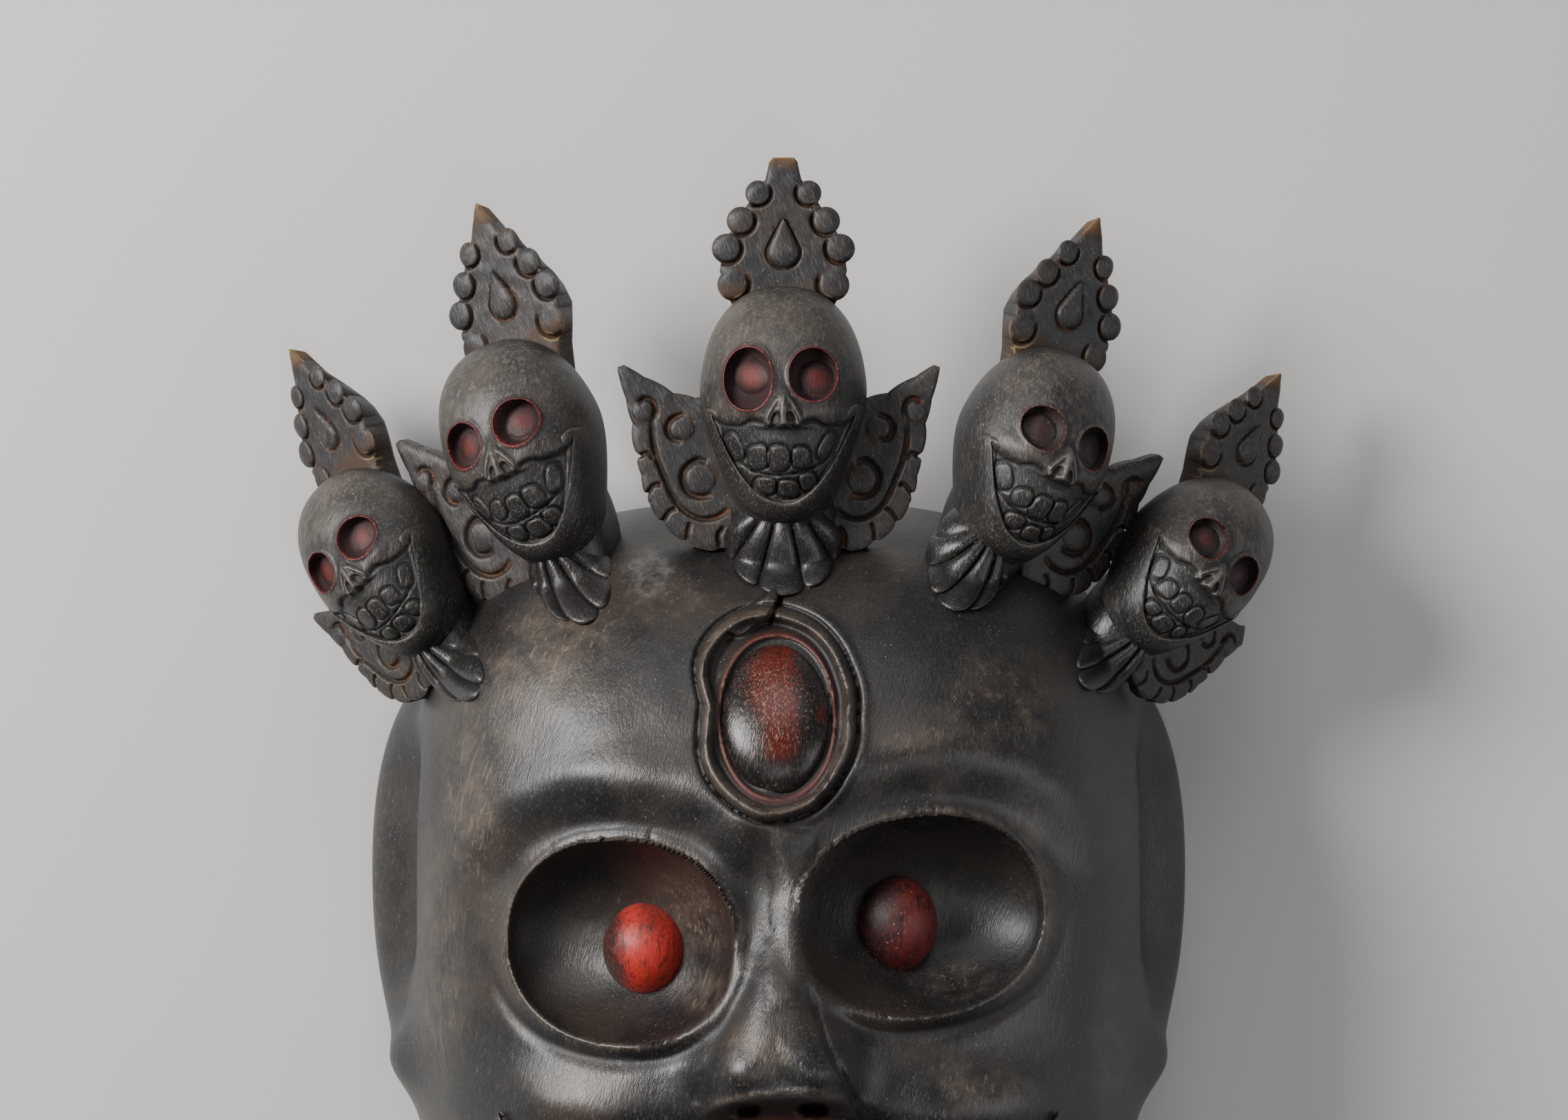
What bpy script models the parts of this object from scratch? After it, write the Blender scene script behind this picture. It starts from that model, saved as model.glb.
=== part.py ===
"""Ritual mask: a dark carved skull face with a third eye, crowned by five small skulls.

The mask is one piece of carved wood, hollow behind, lying face up on its flat back rim.
+X runs to the viewer's right, +Y to the crown, +Z out of the face. Lengths are in metres.
The carving is laid out on grids of small steps, as a carver squares up a block, so that it
follows the head's and the small skulls' own sizes.
"""

import math

import bmesh
import bpy
import numpy as np
from mathutils import Matrix

# Driving sizes
HEAD_WIDTH = 0.222  # across the temples, without the ears
DOME_HEIGHT = 0.115  # from the middle of the eyes' line up to the top of the dome
JAW_DROP = 0.173  # from the same line down to the chin
HEAD_DEPTH = 0.127  # back rim to forehead
WALL = 0.012  # wood left between the face and the hollow
EAR_FLARE = 0.0095  # how far an ear stands out of the temple
SKULL_HEIGHT = 0.071  # the middle skull of the crown, top to chin
PLATE_THICK = 0.008  # flame plate at its tip
WING_THICK = 0.006
EYE_DEPTH = 0.024  # from the rim of an eye socket to its floor

# The layout grids: one step is a millimetre on the mask as first drawn
STEP_X = HEAD_WIDTH / 222
STEP_Y = DOME_HEIGHT / 115
STEP_Z = HEAD_DEPTH / 127
STEP_SKULL = SKULL_HEIGHT / 71

# Head, in head steps
HALF_WIDTH = 111.0
TOP = 115.0
CHIN = JAW_DROP / STEP_Y
WIDEST = 22.0  # height above the back rim of the widest contour
FRONT = 105.0
SQUARE_DOME, SQUARE_JAW, SQUARE_DEPTH = 3.0, 2.4, 2.3
BACK_TUCK = 0.03  # share by which the back edge draws in
EDGE_AT = 0.88  # share of the grid that reaches the widest contour

# Eye sockets: middle, half width and height, slant in degrees, ball's middle and radius
EYES = (
    ((-44.7, -10.5), (32.9, 29.2), -4, (-37.9, -13.4), 12.7),
    ((40.5, -3.0), (35.7, 28.6), 7, (33.2, -6.1), 13.1),
)
THIRD_EYE = ((-0.4, 53.2), (16.3, 23.1))

# Crown, from left to right: the place of each small skull in head steps; its turn, lean and
# nod in degrees; and its size as a share of the middle one's
SKULLS = (
    ((-117.5, 96, 56), (-32, 38, 9), 0.87),
    ((-73.6, 128.2, 76), (-22, 21, 5), 0.96),
    ((1.4, 141, 86), (0, 0, 0), 1.00),
    ((72.6, 127.2, 76), (27, -21, 6), 0.92),
    ((118.5, 95, 56), (28, -44, 8), 0.85),
)
# Their plates: turn, lean and nod; width and height as shares of the skull's; shift in x
PLATES = (
    ((-50, 30, 9), (0.92, 1.12), -1),
    ((-32, 16, 5), (1.00, 1.04), 3),
    ((0, 0, 0), (1.00, 1.00), 0),
    ((32, -18, 6), (1.00, 1.05), 0),
    ((48, -29, 8), (1.02, 1.02), 5),
)
# Wings: the skull that carries it, its side, its turn, lean and nod, its width and height
WINGS = (
    (0, -1, (-50, 38, 9), (1.00, 1.00)),
    (1, -1, (-30, 11, 5), (1.05, 1.05)),
    (2, -1, (0, 0, 0), (1.06, 1.00)),
    (2, 1, (0, 0, 0), (1.00, 1.00)),
    (3, 1, (31, -13.5, 6), (1.12, 1.00)),
    (4, 1, (48, -44, 8), (1.00, 1.00)),
)

# Fineness of the forms before they are joined, and the facets that are left of them
HEAD_RINGS, SKULL_RINGS, SLAB_RINGS = 110, 40, 30
GRAIN = 0.0008
HEAD_FACETS, CROWN_FACETS = 3300, 5800
CUT_DEPTH = 0.006  # how far the forms run on behind the flat back rim


def ease(low, high, value):
    """0 below low, 1 above high, and a smooth rise between."""
    t = np.clip((value - low) / (high - low), 0, 1)
    return t * t * (3 - 2 * t)


def bump(distance, width):
    return np.exp(-((distance / width) ** 2))


def oval(x, y, middle, half, slant=0, square=2.2):
    """Share of the way from an oval's middle to its edge."""
    turn = math.radians(slant)
    u = (x - middle[0]) * math.cos(turn) + (y - middle[1]) * math.sin(turn)
    v = (y - middle[1]) * math.cos(turn) - (x - middle[0]) * math.sin(turn)
    return (np.abs(u / half[0]) ** square + np.abs(v / half[1]) ** square) ** (1 / square)


def disc(rings):
    """A square grid bent into a disc: each point's share of the radius, its angle, the faces
    and the points of the edge in order."""
    line = np.arange(-rings, rings + 1) / rings
    u, v = np.meshgrid(line, line, indexing="ij")
    wide = np.abs(u) >= np.abs(v)
    lead = np.where(wide, u, v)
    safe = np.where(lead == 0, 1, lead)
    flat = math.pi / 4 * v / safe + math.pi * (u < 0)
    steep = math.pi / 2 - math.pi / 4 * u / safe + math.pi * (v < 0)
    angle = np.where(wide, flat, steep)
    side = 2 * rings + 1
    number = np.arange(side * side).reshape(side, side)
    corners = (number[:-1, :-1], number[1:, :-1], number[1:, 1:], number[:-1, 1:])
    faces = np.stack([c.ravel() for c in corners], axis=1)
    edge = [number[-1, rings:], number[-2::-1, -1], number[0, -2::-1]]
    edge += [number[1:, 0], number[-1, 1:rings]]
    return np.abs(lead).ravel(), angle.ravel(), faces, np.concatenate(edge)


def closed_form(rings, front, back, place, rooted=False):
    """Two discs, front and back, joined along their edges, and put in place. A rooted form
    ends in the middle of the head's wall."""
    share, angle, faces, edge = disc(rings)
    points = np.concatenate([front(share, angle), back(share, angle)])
    points = points @ place[:3, :3].T + place[:3, 3]
    if rooted:
        root = dome_height(points[:, 0] / STEP_X, points[:, 1] / STEP_Y, 0.5 * WALL / STEP_Z)
        points[:, 2] = np.maximum(points[:, 2], root * STEP_Z)
    count = len(share)
    loops = [face.tolist() for face in faces]
    loops += [face[::-1].tolist() for face in faces + count]
    after = np.roll(edge, -1)
    strip = np.stack([edge, after, after + count, edge + count], axis=1)
    loops += [face[::-1].tolist() for face in strip]
    mesh = bpy.data.meshes.new("form")
    mesh.from_pydata(points.tolist(), [], loops)
    work = bmesh.new()
    work.from_mesh(mesh)
    bmesh.ops.recalc_face_normals(work, faces=work.faces)
    if work.calc_volume(signed=True) < 0:
        bmesh.ops.reverse_faces(work, faces=work.faces)
    work.to_mesh(mesh)
    work.free()
    return mesh


def head_outline(angle):
    """Radius of the head's widest contour: a full dome above, a narrowing jaw below."""
    c, s = np.abs(np.cos(angle)), np.abs(np.sin(angle))
    dome = ((c / HALF_WIDTH) ** SQUARE_DOME + (s / TOP) ** SQUARE_DOME) ** (-1 / SQUARE_DOME)
    jaw = ((c / HALF_WIDTH) ** SQUARE_JAW + (s / CHIN) ** SQUARE_JAW) ** (-1 / SQUARE_JAW)
    return np.where(np.sin(angle) >= 0, dome, jaw)


def head_base(share, angle, inset=0.0):
    """The head before it is carved; inset draws it inwards for the hollow."""
    turn = np.clip(share / EDGE_AT, 0, 1) * math.pi / 2
    below = np.clip((share - EDGE_AT) / (1 - EDGE_AT), 0, 1)
    reach = np.sin(turn) ** (2 / SQUARE_DEPTH) - BACK_TUCK * below**2
    radius = head_outline(angle) - inset
    lift = WIDEST + (FRONT - inset) * np.cos(turn) ** (2 / SQUARE_DEPTH)
    down = WIDEST - (WIDEST + CUT_DEPTH / STEP_Z) * below
    z = np.where(share > EDGE_AT, down, lift)
    return radius * reach * np.cos(angle), radius * reach * np.sin(angle), z


def dome_height(x, y, inset):
    """Height of the uncarved head over a point, and nothing outside it."""
    reach = np.hypot(x, y) / (head_outline(np.arctan2(y, x)) - inset)
    turn = np.arcsin(np.clip(reach, 0, 1) ** (SQUARE_DEPTH / 2))
    return (WIDEST + (FRONT - inset) * np.cos(turn) ** (2 / SQUARE_DEPTH)) * (reach < 1)


def sockets(x, y, depth, soft=1.0):
    """Eye bowls with their balls; soft spreads them for the hollow behind."""
    cut = np.zeros_like(x)
    for middle, half, slant, ball, radius in EYES:
        rho = oval(x, y, middle, (half[0] * soft, half[1] * soft), slant)
        bowl = -depth * np.clip(1 - rho**2.4, 0, 1) ** (0.62 if soft == 1 else 1.2)
        if soft == 1:
            away = np.hypot(x - ball[0], y - ball[1]) / radius
            globe = -depth + radius * np.sqrt(np.clip(1 - away**2, 0, 1))
            bowl = np.where(away < 1, np.maximum(bowl, globe), bowl)
            bowl += 2.0 * bump(rho - 1.04, 0.07)
            above = ease(-0.2, 0.8, (y - middle[1]) / half[1])
            bowl += 6.0 * above * bump(rho - 1.28, 0.26) * (rho > 1)
        cut += bowl
    return cut


def nose(x, y):
    above = y + 51.8 + 0.013 * x**2 - 0.06 * x  # how far a point is above the nose's lower edge
    rise = 20 * ease(10, -44, y) * ease(-6.5, 0, above)
    half = 9 + 11 * ease(-5, -50, y)
    form = rise * np.exp(-np.abs(x / half) ** 2.8)
    for side in (-1, 1):
        form += 5.5 * bump(np.hypot(x - side * 14.5, (y + 46) * 1.1), 8.5) * ease(-6.5, 0, above)
        form -= 7 * ease(1.15, 0.55, oval(x, y, (side * 9.5, -56.8), (4.8, 2.6)))
    return form


def mouth_edges(x):
    """Upper and lower edge of the great grin at each x."""
    reach = np.clip(np.abs(x) / 72, 0, 1.4)
    upper = -67 - 13 * np.sin(np.clip(reach, 0, 1) * math.pi) ** 1.2 - 6 * reach**2
    lower = -134 + 60 * reach**2.2
    return upper, lower


def tooth_row(x, y, low, high, width, count):
    """Rounded blocks side by side between two levels."""
    across = (x / width) % 1 - 0.5
    inside = ease(count / 2 * width + 1, count / 2 * width - 1, np.abs(x))
    tall = ease(low - 1.5, low + 2, y) * ease(high + 1.5, high - 2, y)
    return inside * tall * (1 - np.abs(2 * across) ** 4)


def mouth(x, y):
    upper, lower = mouth_edges(x)
    inside = ease(0, 3, upper - y) * ease(0, 3, y - lower)
    curve = 0.0035 * x**2
    teeth = tooth_row(x, y - curve, -106, -84, 14, 6) + tooth_row(x, y - curve, -127, -107, 13, 6)
    for side in (-1, 1):
        teeth = np.maximum(teeth, ease(1.2, 0.7, oval(x, y, (side * 50, -97), (6.5, 13), side * 14)))
    lip = 3.5 * bump(y - lower + 5, 6) * (np.abs(x) < 80) * ease(0, 2, lower - y)
    return inside * (-8 + 6.5 * teeth) + lip


def face_carving(x, y):
    """All carving that is cut from the front, as a change of height."""
    form = sockets(x, y, EYE_DEPTH / STEP_Z) + nose(x, y) + mouth(x, y)
    for side in (-1, 1):
        form += 9 * bump(np.hypot((x - side * 60) / 30, (y + 60) / 15), 1)
        form -= 5 * bump(np.hypot((x - side * 84) / 14, (y + 100) / 30), 1)
        form += 3 * bump(np.hypot((x - side * 66) / 26, (y + 140) / 22), 1)
    form += 7 * bump(np.hypot(x / 26, (y + 156) / 14), 1)
    middle, half = THIRD_EYE
    rho = oval(x, y, middle, half)
    ball = 8 * np.sqrt(np.clip(1 - rho**2, 0, 1))
    rim = 4.5 * bump(rho - 1.32, 0.12) - 2.5 * ease(1.3, 1.0, rho)
    tip = 4.0 * bump(np.hypot((x - 1.2 * np.sin((y - 82) / 3)) / 2.6, (y - 84) / 5), 1)
    return form + ball + rim + tip


def ears(y, z):
    """How far the ears and their lobes stand out of the sides."""
    along = np.sqrt(np.clip(1 - ((y - 8) / 55) ** 2, 0, 1))
    back = ease(50, 28, z + 0.002 * (y - 8) ** 2)
    hollow = bump((z - 48) / 9, 1) * ease(52, 30, y) * ease(-30, -8, y)
    lobe = bump(np.hypot((y + 49) / 11, (z - 42) / 15), 1)
    return along * back - 0.45 * hollow + 0.7 * lobe


def head_front(share, angle):
    x, y, z = head_base(share, angle)
    faces = ease(1.0, 0.9, np.hypot(x / HALF_WIDTH, y / np.where(y > 0, TOP, CHIN)))
    out = ears(y, z) * (EAR_FLARE / STEP_X) * ease(70, 100, np.abs(x)) * np.sign(x)
    z = z + face_carving(x, y) * np.where(share < EDGE_AT, np.maximum(faces, 0), 0)
    return np.stack([(x + out) * STEP_X, y * STEP_Y, z * STEP_Z], axis=1)


def head_hollow(share, angle):
    """The hollow behind the face keeps the wall, also behind the eye bowls and the mouth."""
    inset = WALL / STEP_Z
    x, y, z = head_base(share, angle, inset)
    spare = sockets(x, y, EYE_DEPTH / STEP_Z, 1.25)
    upper, lower = mouth_edges(x)
    spare -= 8 * ease(-16, 12, upper - y) * ease(-16, 12, y - lower)
    z = z + spare * (share < EDGE_AT)
    return np.stack([x * STEP_X, y * STEP_Y, z * STEP_Z], axis=1)


def skull_carving(x, y):
    """Eyes, nose, cheek edges and grin of a small skull, in skull steps."""
    form = 3.5 * bump(np.hypot(x / 13, (y + 17) / 13), 1)
    for side, middle, half in ((-1, (-10.0, 7.8), (6.6, 7.6)), (1, (9.2, 8.4), (6.6, 7.2))):
        rho = oval(x, y, middle, half)
        bowl = -6.5 * np.clip(1 - rho**2.4, 0, 1) ** 0.6
        ball = -6.5 + 4.2 * np.sqrt(np.clip(1 - (rho / 0.72) ** 2, 0, 1))
        form += np.where(rho < 0.72, np.maximum(bowl, ball), bowl)
        form += 1.4 * bump(np.hypot((x - side * 13) / 8, (y + 3.5) / 4.5), 1)
    form += 3.2 * ease(8, -2, y) * ease(-7.5, -5.5, y) * bump(x / (2.2 + 0.25 * (8 - y)), 1)
    reach = np.clip(np.abs(x) / 20, 0, 1.3)
    lower = -27.5 + 23.5 * reach**2.2
    inside = ease(-5, -6.5, y + 1.2 * np.cos(x / 4)) * ease(0, 1.8, y - lower)
    curve = 0.012 * x**2
    teeth = tooth_row(x, y - curve, -19.4, -11, 5.8, 4) + tooth_row(x, y - curve, -26, -19.8, 5.4, 4)
    return form + inside * (-3.4 + 2.6 * teeth)


def skull_form(size, place):
    """A small skull: a round cranium that narrows to the jaw."""

    def surface(front):
        def shape(share, angle):
            turn = share * math.pi / 2
            dx, dy = np.sin(turn) * np.cos(angle), np.sin(turn) * np.sin(angle)
            full = 1 + 0.05 * (2 * np.cos(angle) * np.sin(angle)) ** 2  # squarer shoulders
            dz = np.cos(turn) * (1 if front else -1)
            y = 35.5 * dy * full
            taper = 1 - 0.25 * ease(8, -24, y)
            x = 24.3 * dx * taper * full
            z = dz * (24 * (1 - 0.1 * ease(0, -30, y)) if front else 31 * taper)
            if front:
                z = z + skull_carving(x, y) * ease(0.02, 0.3, dz)
            return np.stack([x, y, z], axis=1) * (STEP_SKULL * size)

        return shape

    return closed_form(SKULL_RINGS, surface(True), surface(False), place)


def neck_form(size, place):
    """Collar of petals that fan out under the chin and end on the dome."""

    def surface(front):
        def shape(share, angle):
            turn = share * math.pi / 2
            dx, dy = np.sin(turn) * np.cos(angle), np.sin(turn) * np.sin(angle)
            dz = np.cos(turn) * (1 if front else -1)
            fan = np.arctan2(17 * dx, 12 - 20 * dy)
            flute = 1 + 0.2 * (np.abs(np.cos(fan * 3.6)) - 0.6) * ease(0.3, -0.2, dy)
            x, y, z = 17 * dx * flute, 18 * dy, (14 if front else 9) * dz * flute
            return np.stack([x, y - 35, z - 6], axis=1) * (STEP_SKULL * size)

        return shape

    return closed_form(SKULL_RINGS, surface(True), surface(False), place, rooted=True)


def slab_form(radius, back_radius, middle, thick, relief, place, size, front_z):
    """A carved plate: a relief face cut to one outline, side walls and a smoother back edge."""
    wall_at = 0.8

    def spot(reach, angle):
        x = middle[0] + reach * np.cos(angle)
        return x, middle[1] + reach * np.sin(angle)

    def front(share, angle):
        in_face = np.clip(share / wall_at, 0, 1)
        down = np.clip((share - wall_at) / (1 - wall_at), 0, 1)
        edge = radius(angle) + down * (back_radius(angle) - radius(angle))
        x, y = spot(edge * in_face, angle)
        z = front_z + relief(x, y) - 1.2 * in_face**12
        z = z - down * (z - front_z + thick(y) * 0.9)
        return np.stack([x, y, z], axis=1) * (STEP_SKULL * size)

    def back(share, angle):
        x, y = spot(back_radius(angle) * share * 0.97, angle)
        z = front_z - thick(y)
        return np.stack([x, y, z], axis=1) * (STEP_SKULL * size)

    return closed_form(SLAB_RINGS, front, back, place)


LOBES = ((7.3, 62.5, 3.7), (12.3, 54.5, 4.1), (16.4, 46.5, 4.3), (14.5, 36.0, 4.6))
PLATE_MIDDLE = (0.0, 47.0)
LEAF = ((14, 11), (28, 14), (33, 16), (40, 18.4), (46, 17.6), (51, 15.6), (59, 10.6), (66.5, 5.2))
BLUNT_TIP = ((70.0, 4.3), (72.8, 3.4))
SHARP_TIP = ((70.0, 3.6), (76.0, 0.3))
BACK_SHARE = 0.94  # the back edge is a plain leaf, this much narrower


def plate_radius(angle, tip, lobes):
    """Edge of the flame plate: a pointed leaf, with or without the lobes along its sides."""
    reach = np.linspace(0, 34, 341)[:, None]
    x = PLATE_MIDDLE[0] + reach * np.cos(angle)
    y = PLATE_MIDDLE[1] + reach * np.sin(angle)
    heights, halves = np.array(LEAF + tip).T
    inside = (np.abs(x) < np.interp(y, heights, halves)) & (y > heights[0]) & (y < heights[-1])
    for lx, ly, lr in lobes:
        inside |= np.hypot(np.abs(x) - lx, y - ly) < lr
    return np.max(np.where(inside, reach, 0), axis=0)


def plate_relief(x, y):
    form = -0.4 * np.ones_like(x)
    for lx, ly, lr in LOBES:
        away = np.hypot(np.abs(x) - lx, y - ly) / lr
        form += 1.4 * np.sqrt(np.clip(1 - away**2, 0, 1)) - 0.8 * bump(away - 1.15, 0.15)
    half = 4.5 * np.clip((55.2 - y) / 9, 0.02, 1) ** 0.8
    drop = np.hypot(x / half, np.minimum(y - 45.5, 0) / 4.6)
    drop = np.where(y > 55.2, 2, drop)
    return form + 1.8 * np.sqrt(np.clip(1 - drop**2, 0, 1))


def plate_thick(y):
    return PLATE_THICK / STEP_SKULL * (1 + 0.5 * ease(70, 36, y))


def plate_form(size, place, tip):
    def front_edge(angle):
        return plate_radius(angle, tip, LOBES)

    def back_edge(angle):
        return BACK_SHARE * plate_radius(angle, tip, ())

    radii = front_edge, back_edge
    return slab_form(*radii, PLATE_MIDDLE, plate_thick, plate_relief, place, size, -4.0)


WING_MIDDLE = (27.0, -14.0)
WING_EDGE = (
    (18, 4), (30, 4.5), (38, 9.5), (44.8, 13.4), (42.8, 5), (41.2, -4), (39.3, -17),
    (36, -27), (31, -34.5), (24, -39.8), (17, -41), (10, -38), (8, -26), (12, -8),
)


def wing_radius(angle):
    """Edge of a right wing, read along rays from its middle."""
    points = np.array(WING_EDGE, float) - WING_MIDDLE
    turn = np.arctan2(points[:, 1], points[:, 0]) % (2 * math.pi)
    order = np.argsort(turn)
    return np.interp(angle % (2 * math.pi), turn[order], np.hypot(*points.T)[order], period=2 * math.pi)


def wing_relief(x, y):
    away = np.hypot(x - WING_MIDDLE[0], y - WING_MIDDLE[1])
    angle = np.arctan2(y - WING_MIDDLE[1], x - WING_MIDDLE[0])
    rim = away / wing_radius(angle)
    outer = ease(-2.2, -1.9, angle) * ease(1.1, 0.9, angle)
    form = -1.2 * outer * bump(rim - 0.74, 0.07)
    form += 0.9 * outer * ease(0.76, 0.84, rim) * np.abs(np.sin(angle * 4.2))
    for cx, cy, cr in ((28, -4.6, 4.2), (22.5, -20.5, 4.6)):
        curl = np.hypot(x - cx, y - cy) / cr
        form += 1.6 * np.sqrt(np.clip(1 - curl**2, 0, 1)) - 1.0 * bump(curl - 1.2, 0.2)
    return form


def wing_thick(y):
    return np.full_like(y, WING_THICK / STEP_SKULL)


def wing_form(size, place):
    radii = wing_radius, wing_radius
    return slab_form(*radii, WING_MIDDLE, wing_thick, wing_relief, place, size, -2.0)


def stem_form(size, place):
    """The wood behind a small skull: a rounded block from its back down into the dome."""

    def surface(front):
        def shape(share, angle):
            turn = share * math.pi / 2
            swell = np.sin(turn) ** 0.75
            dz = np.cos(turn) ** 0.75 * (1 if front else -1)
            x, y, z = 14 * swell * np.cos(angle), 27 * swell * np.sin(angle), 16 * dz
            return np.stack([x, y - 21, z - 9], axis=1) * (STEP_SKULL * size)

        return shape

    return closed_form(12, surface(True), surface(False), place, rooted=True)


def placed(number, turns, shift=0.0, wide=1.0, tall=1.0):
    """Where a carving of a small skull stands. The skulls keep side by side along the dome, so
    their angle around it follows their own size."""
    px, py, pz = SKULLS[number][0]
    spread = 2 * STEP_SKULL / (STEP_X + STEP_Y)
    around, reach = math.atan2(px, py) * spread, math.hypot(px, py)
    px, py = reach * math.sin(around) + shift, reach * math.cos(around)
    place = Matrix.Translation((px * STEP_X, py * STEP_Y, pz * STEP_Z))
    for angle, axis, follows in zip(turns, "YZX", (spread, spread, 1)):
        place = place @ Matrix.Rotation(math.radians(angle) * follows, 4, axis)
    return np.array(place @ Matrix.Diagonal((wide, tall, 1, 1)))


def crown_forms():
    forms = []
    for number, (_, turns, size) in enumerate(SKULLS):
        place = placed(number, turns)
        forms += [skull_form(size, place), neck_form(size, place), stem_form(size, place)]
    for number, (turns, (wide, tall), shift) in enumerate(PLATES):
        place = placed(number, turns, shift, wide, tall)
        tip = BLUNT_TIP if SKULLS[number][1][0] == 0 else SHARP_TIP
        forms.append(plate_form(SKULLS[number][2], place, tip))
    for number, side, turns, (wide, tall) in WINGS:
        place = placed(number, turns, 0, side * wide, tall)
        forms.append(wing_form(SKULLS[number][2], place))
    return forms


def wood():
    material = bpy.data.materials.new("black_wood")
    material.use_nodes = True
    shader = material.node_tree.nodes["Principled BSDF"]
    shader.inputs["Base Color"].default_value = (0.022, 0.021, 0.022, 1)
    shader.inputs["Roughness"].default_value = 0.42
    shader.inputs["Metallic"].default_value = 0
    return material


def add(name, forms, middle):
    """One object of several forms, moved so that the whole mask stands over the origin."""
    work = bmesh.new()
    for form in forms:
        work.from_mesh(form)
        bpy.data.meshes.remove(form)
    bmesh.ops.translate(work, vec=(-middle[0], -middle[1], 0), verts=work.verts)
    mesh = bpy.data.meshes.new(name)
    work.to_mesh(mesh)
    work.free()
    thing = bpy.data.objects.new(name, mesh)
    bpy.context.scene.collection.objects.link(thing)
    return thing


def facet(thing, count):
    """Leave about count triangles, most of them where the form turns."""
    view = bpy.context.evaluated_depsgraph_get()
    mesh = thing.evaluated_get(view).data
    made = sum(len(face.vertices) - 2 for face in mesh.polygons)
    fewer = thing.modifiers.new("facets", "DECIMATE")
    fewer.ratio = count / made
    fewer.use_collapse_triangulate = True


def as_tool(thing):
    thing.hide_render = True
    thing.display_type = "WIRE"
    return thing


def boolean(thing, tool, operation):
    step = thing.modifiers.new(tool.name, "BOOLEAN")
    step.operation = operation
    step.solver = "EXACT"
    step.object = as_tool(tool)


def floor_form():
    """A block under the back rim's plane, larger than the mask."""
    mesh = bpy.data.meshes.new("floor")
    cube = bmesh.new()
    bmesh.ops.create_cube(cube, size=1)
    side = 4 * HEAD_WIDTH
    bmesh.ops.scale(cube, vec=(side, side, 10 * CUT_DEPTH), verts=cube.verts)
    bmesh.ops.translate(cube, vec=(0, 0, -5 * CUT_DEPTH), verts=cube.verts)
    cube.to_mesh(mesh)
    cube.free()
    return mesh


def make_mask():
    head = closed_form(HEAD_RINGS, head_front, head_hollow, np.eye(4))
    crown = crown_forms()
    corners = np.array([v.co for form in [head] + crown for v in form.vertices])
    middle = (corners.min(axis=0) + corners.max(axis=0)) / 2

    mask = add("mask", [head], middle)
    mask.data.materials.append(wood())
    facet(mask, HEAD_FACETS)

    skulls = add("crown", crown, middle)
    fuse = skulls.modifiers.new("one piece of wood", "REMESH")
    fuse.mode = "VOXEL"
    fuse.voxel_size = GRAIN
    facet(skulls, CROWN_FACETS)

    boolean(mask, skulls, "UNION")
    boolean(mask, add("floor", [floor_form()], middle), "DIFFERENCE")
    return mask


for old in list(bpy.data.objects):
    bpy.data.objects.remove(old, do_unlink=True)
make_mask()
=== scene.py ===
import math

import bpy
import numpy as np
from mathutils import Matrix, Vector


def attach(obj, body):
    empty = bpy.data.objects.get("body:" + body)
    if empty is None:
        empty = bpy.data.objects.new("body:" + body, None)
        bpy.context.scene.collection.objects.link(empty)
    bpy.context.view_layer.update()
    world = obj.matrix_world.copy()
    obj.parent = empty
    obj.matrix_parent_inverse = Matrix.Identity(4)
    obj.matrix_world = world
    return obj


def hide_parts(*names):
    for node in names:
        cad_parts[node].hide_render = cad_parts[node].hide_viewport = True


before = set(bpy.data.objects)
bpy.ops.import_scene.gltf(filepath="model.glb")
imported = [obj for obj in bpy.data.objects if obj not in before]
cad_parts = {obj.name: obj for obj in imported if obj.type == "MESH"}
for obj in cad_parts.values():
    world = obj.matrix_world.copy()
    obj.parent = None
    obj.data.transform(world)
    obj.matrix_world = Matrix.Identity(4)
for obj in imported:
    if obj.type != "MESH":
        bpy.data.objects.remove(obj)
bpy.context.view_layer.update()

# Ritual mask: a dark carved skull face with a third eye, crowned by five small skulls.
# It lies face up on its back rim: +X to the viewer's right, +Y to the crown, +Z out of the face.
# The carving is laid out in millimetres from the middle of the line between the eyes.
MM = 0.001
LAYOUT = Vector((-0.000999, -0.020394, 0.0))

# Head
HALF_WIDTH, TOP, CHIN = 111.0, 115.0, 173.0
WIDEST, FRONT = 22.0, 105.0
SQUARE_DOME, SQUARE_JAW, SQUARE_DEPTH = 3.0, 2.4, 2.3
BACK_TUCK = 0.03
EDGE_AT = 0.88
WALL = 12.0
EAR_FLARE = 9.5
EYE_DEPTH = 24.0
# Eye sockets: middle, half width and height, slant in degrees, the ball's middle and half sizes
EYES = (
    ((-44.7, -10.5), (32.9, 29.2), -4, (-37.9, -13.4), (12.3, 13.2, 12.8)),
    ((40.5, -3.0), (35.7, 28.6), 7, (33.2, -6.1), (12.2, 14.0, 13.2)),
)
# Third eye: middle and half sizes of the ring; the ball's middle, half sizes and how far it is sunk
THIRD_EYE = ((-0.4, 53.2), (16.3, 23.1))
THIRD_BALL = ((-0.8, 52.3), (15.2, 21.3, 6.6), 1.6)

# Crown, from left to right: each small skull's place; its turn, lean and nod in degrees; its
# size; the width of its sockets' red rims; and how much of their paint is left
SKULLS = (
    ((-114.6, 96, 56), (-32, 38, 9), 0.87, 0.08, 0.8),
    ((-72.4, 128.2, 76), (-22, 21, 5), 0.96, 0.12, 0.75),
    ((1.4, 141, 86), (0, 0, 0), 1.00, 0.07, 0.8),
    ((72.6, 127.2, 76), (27, -21, 6), 0.92, 0.06, 0.5),
    ((118.5, 95, 56), (28, -44, 8), 0.85, 0.08, 0.6),
)
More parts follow.
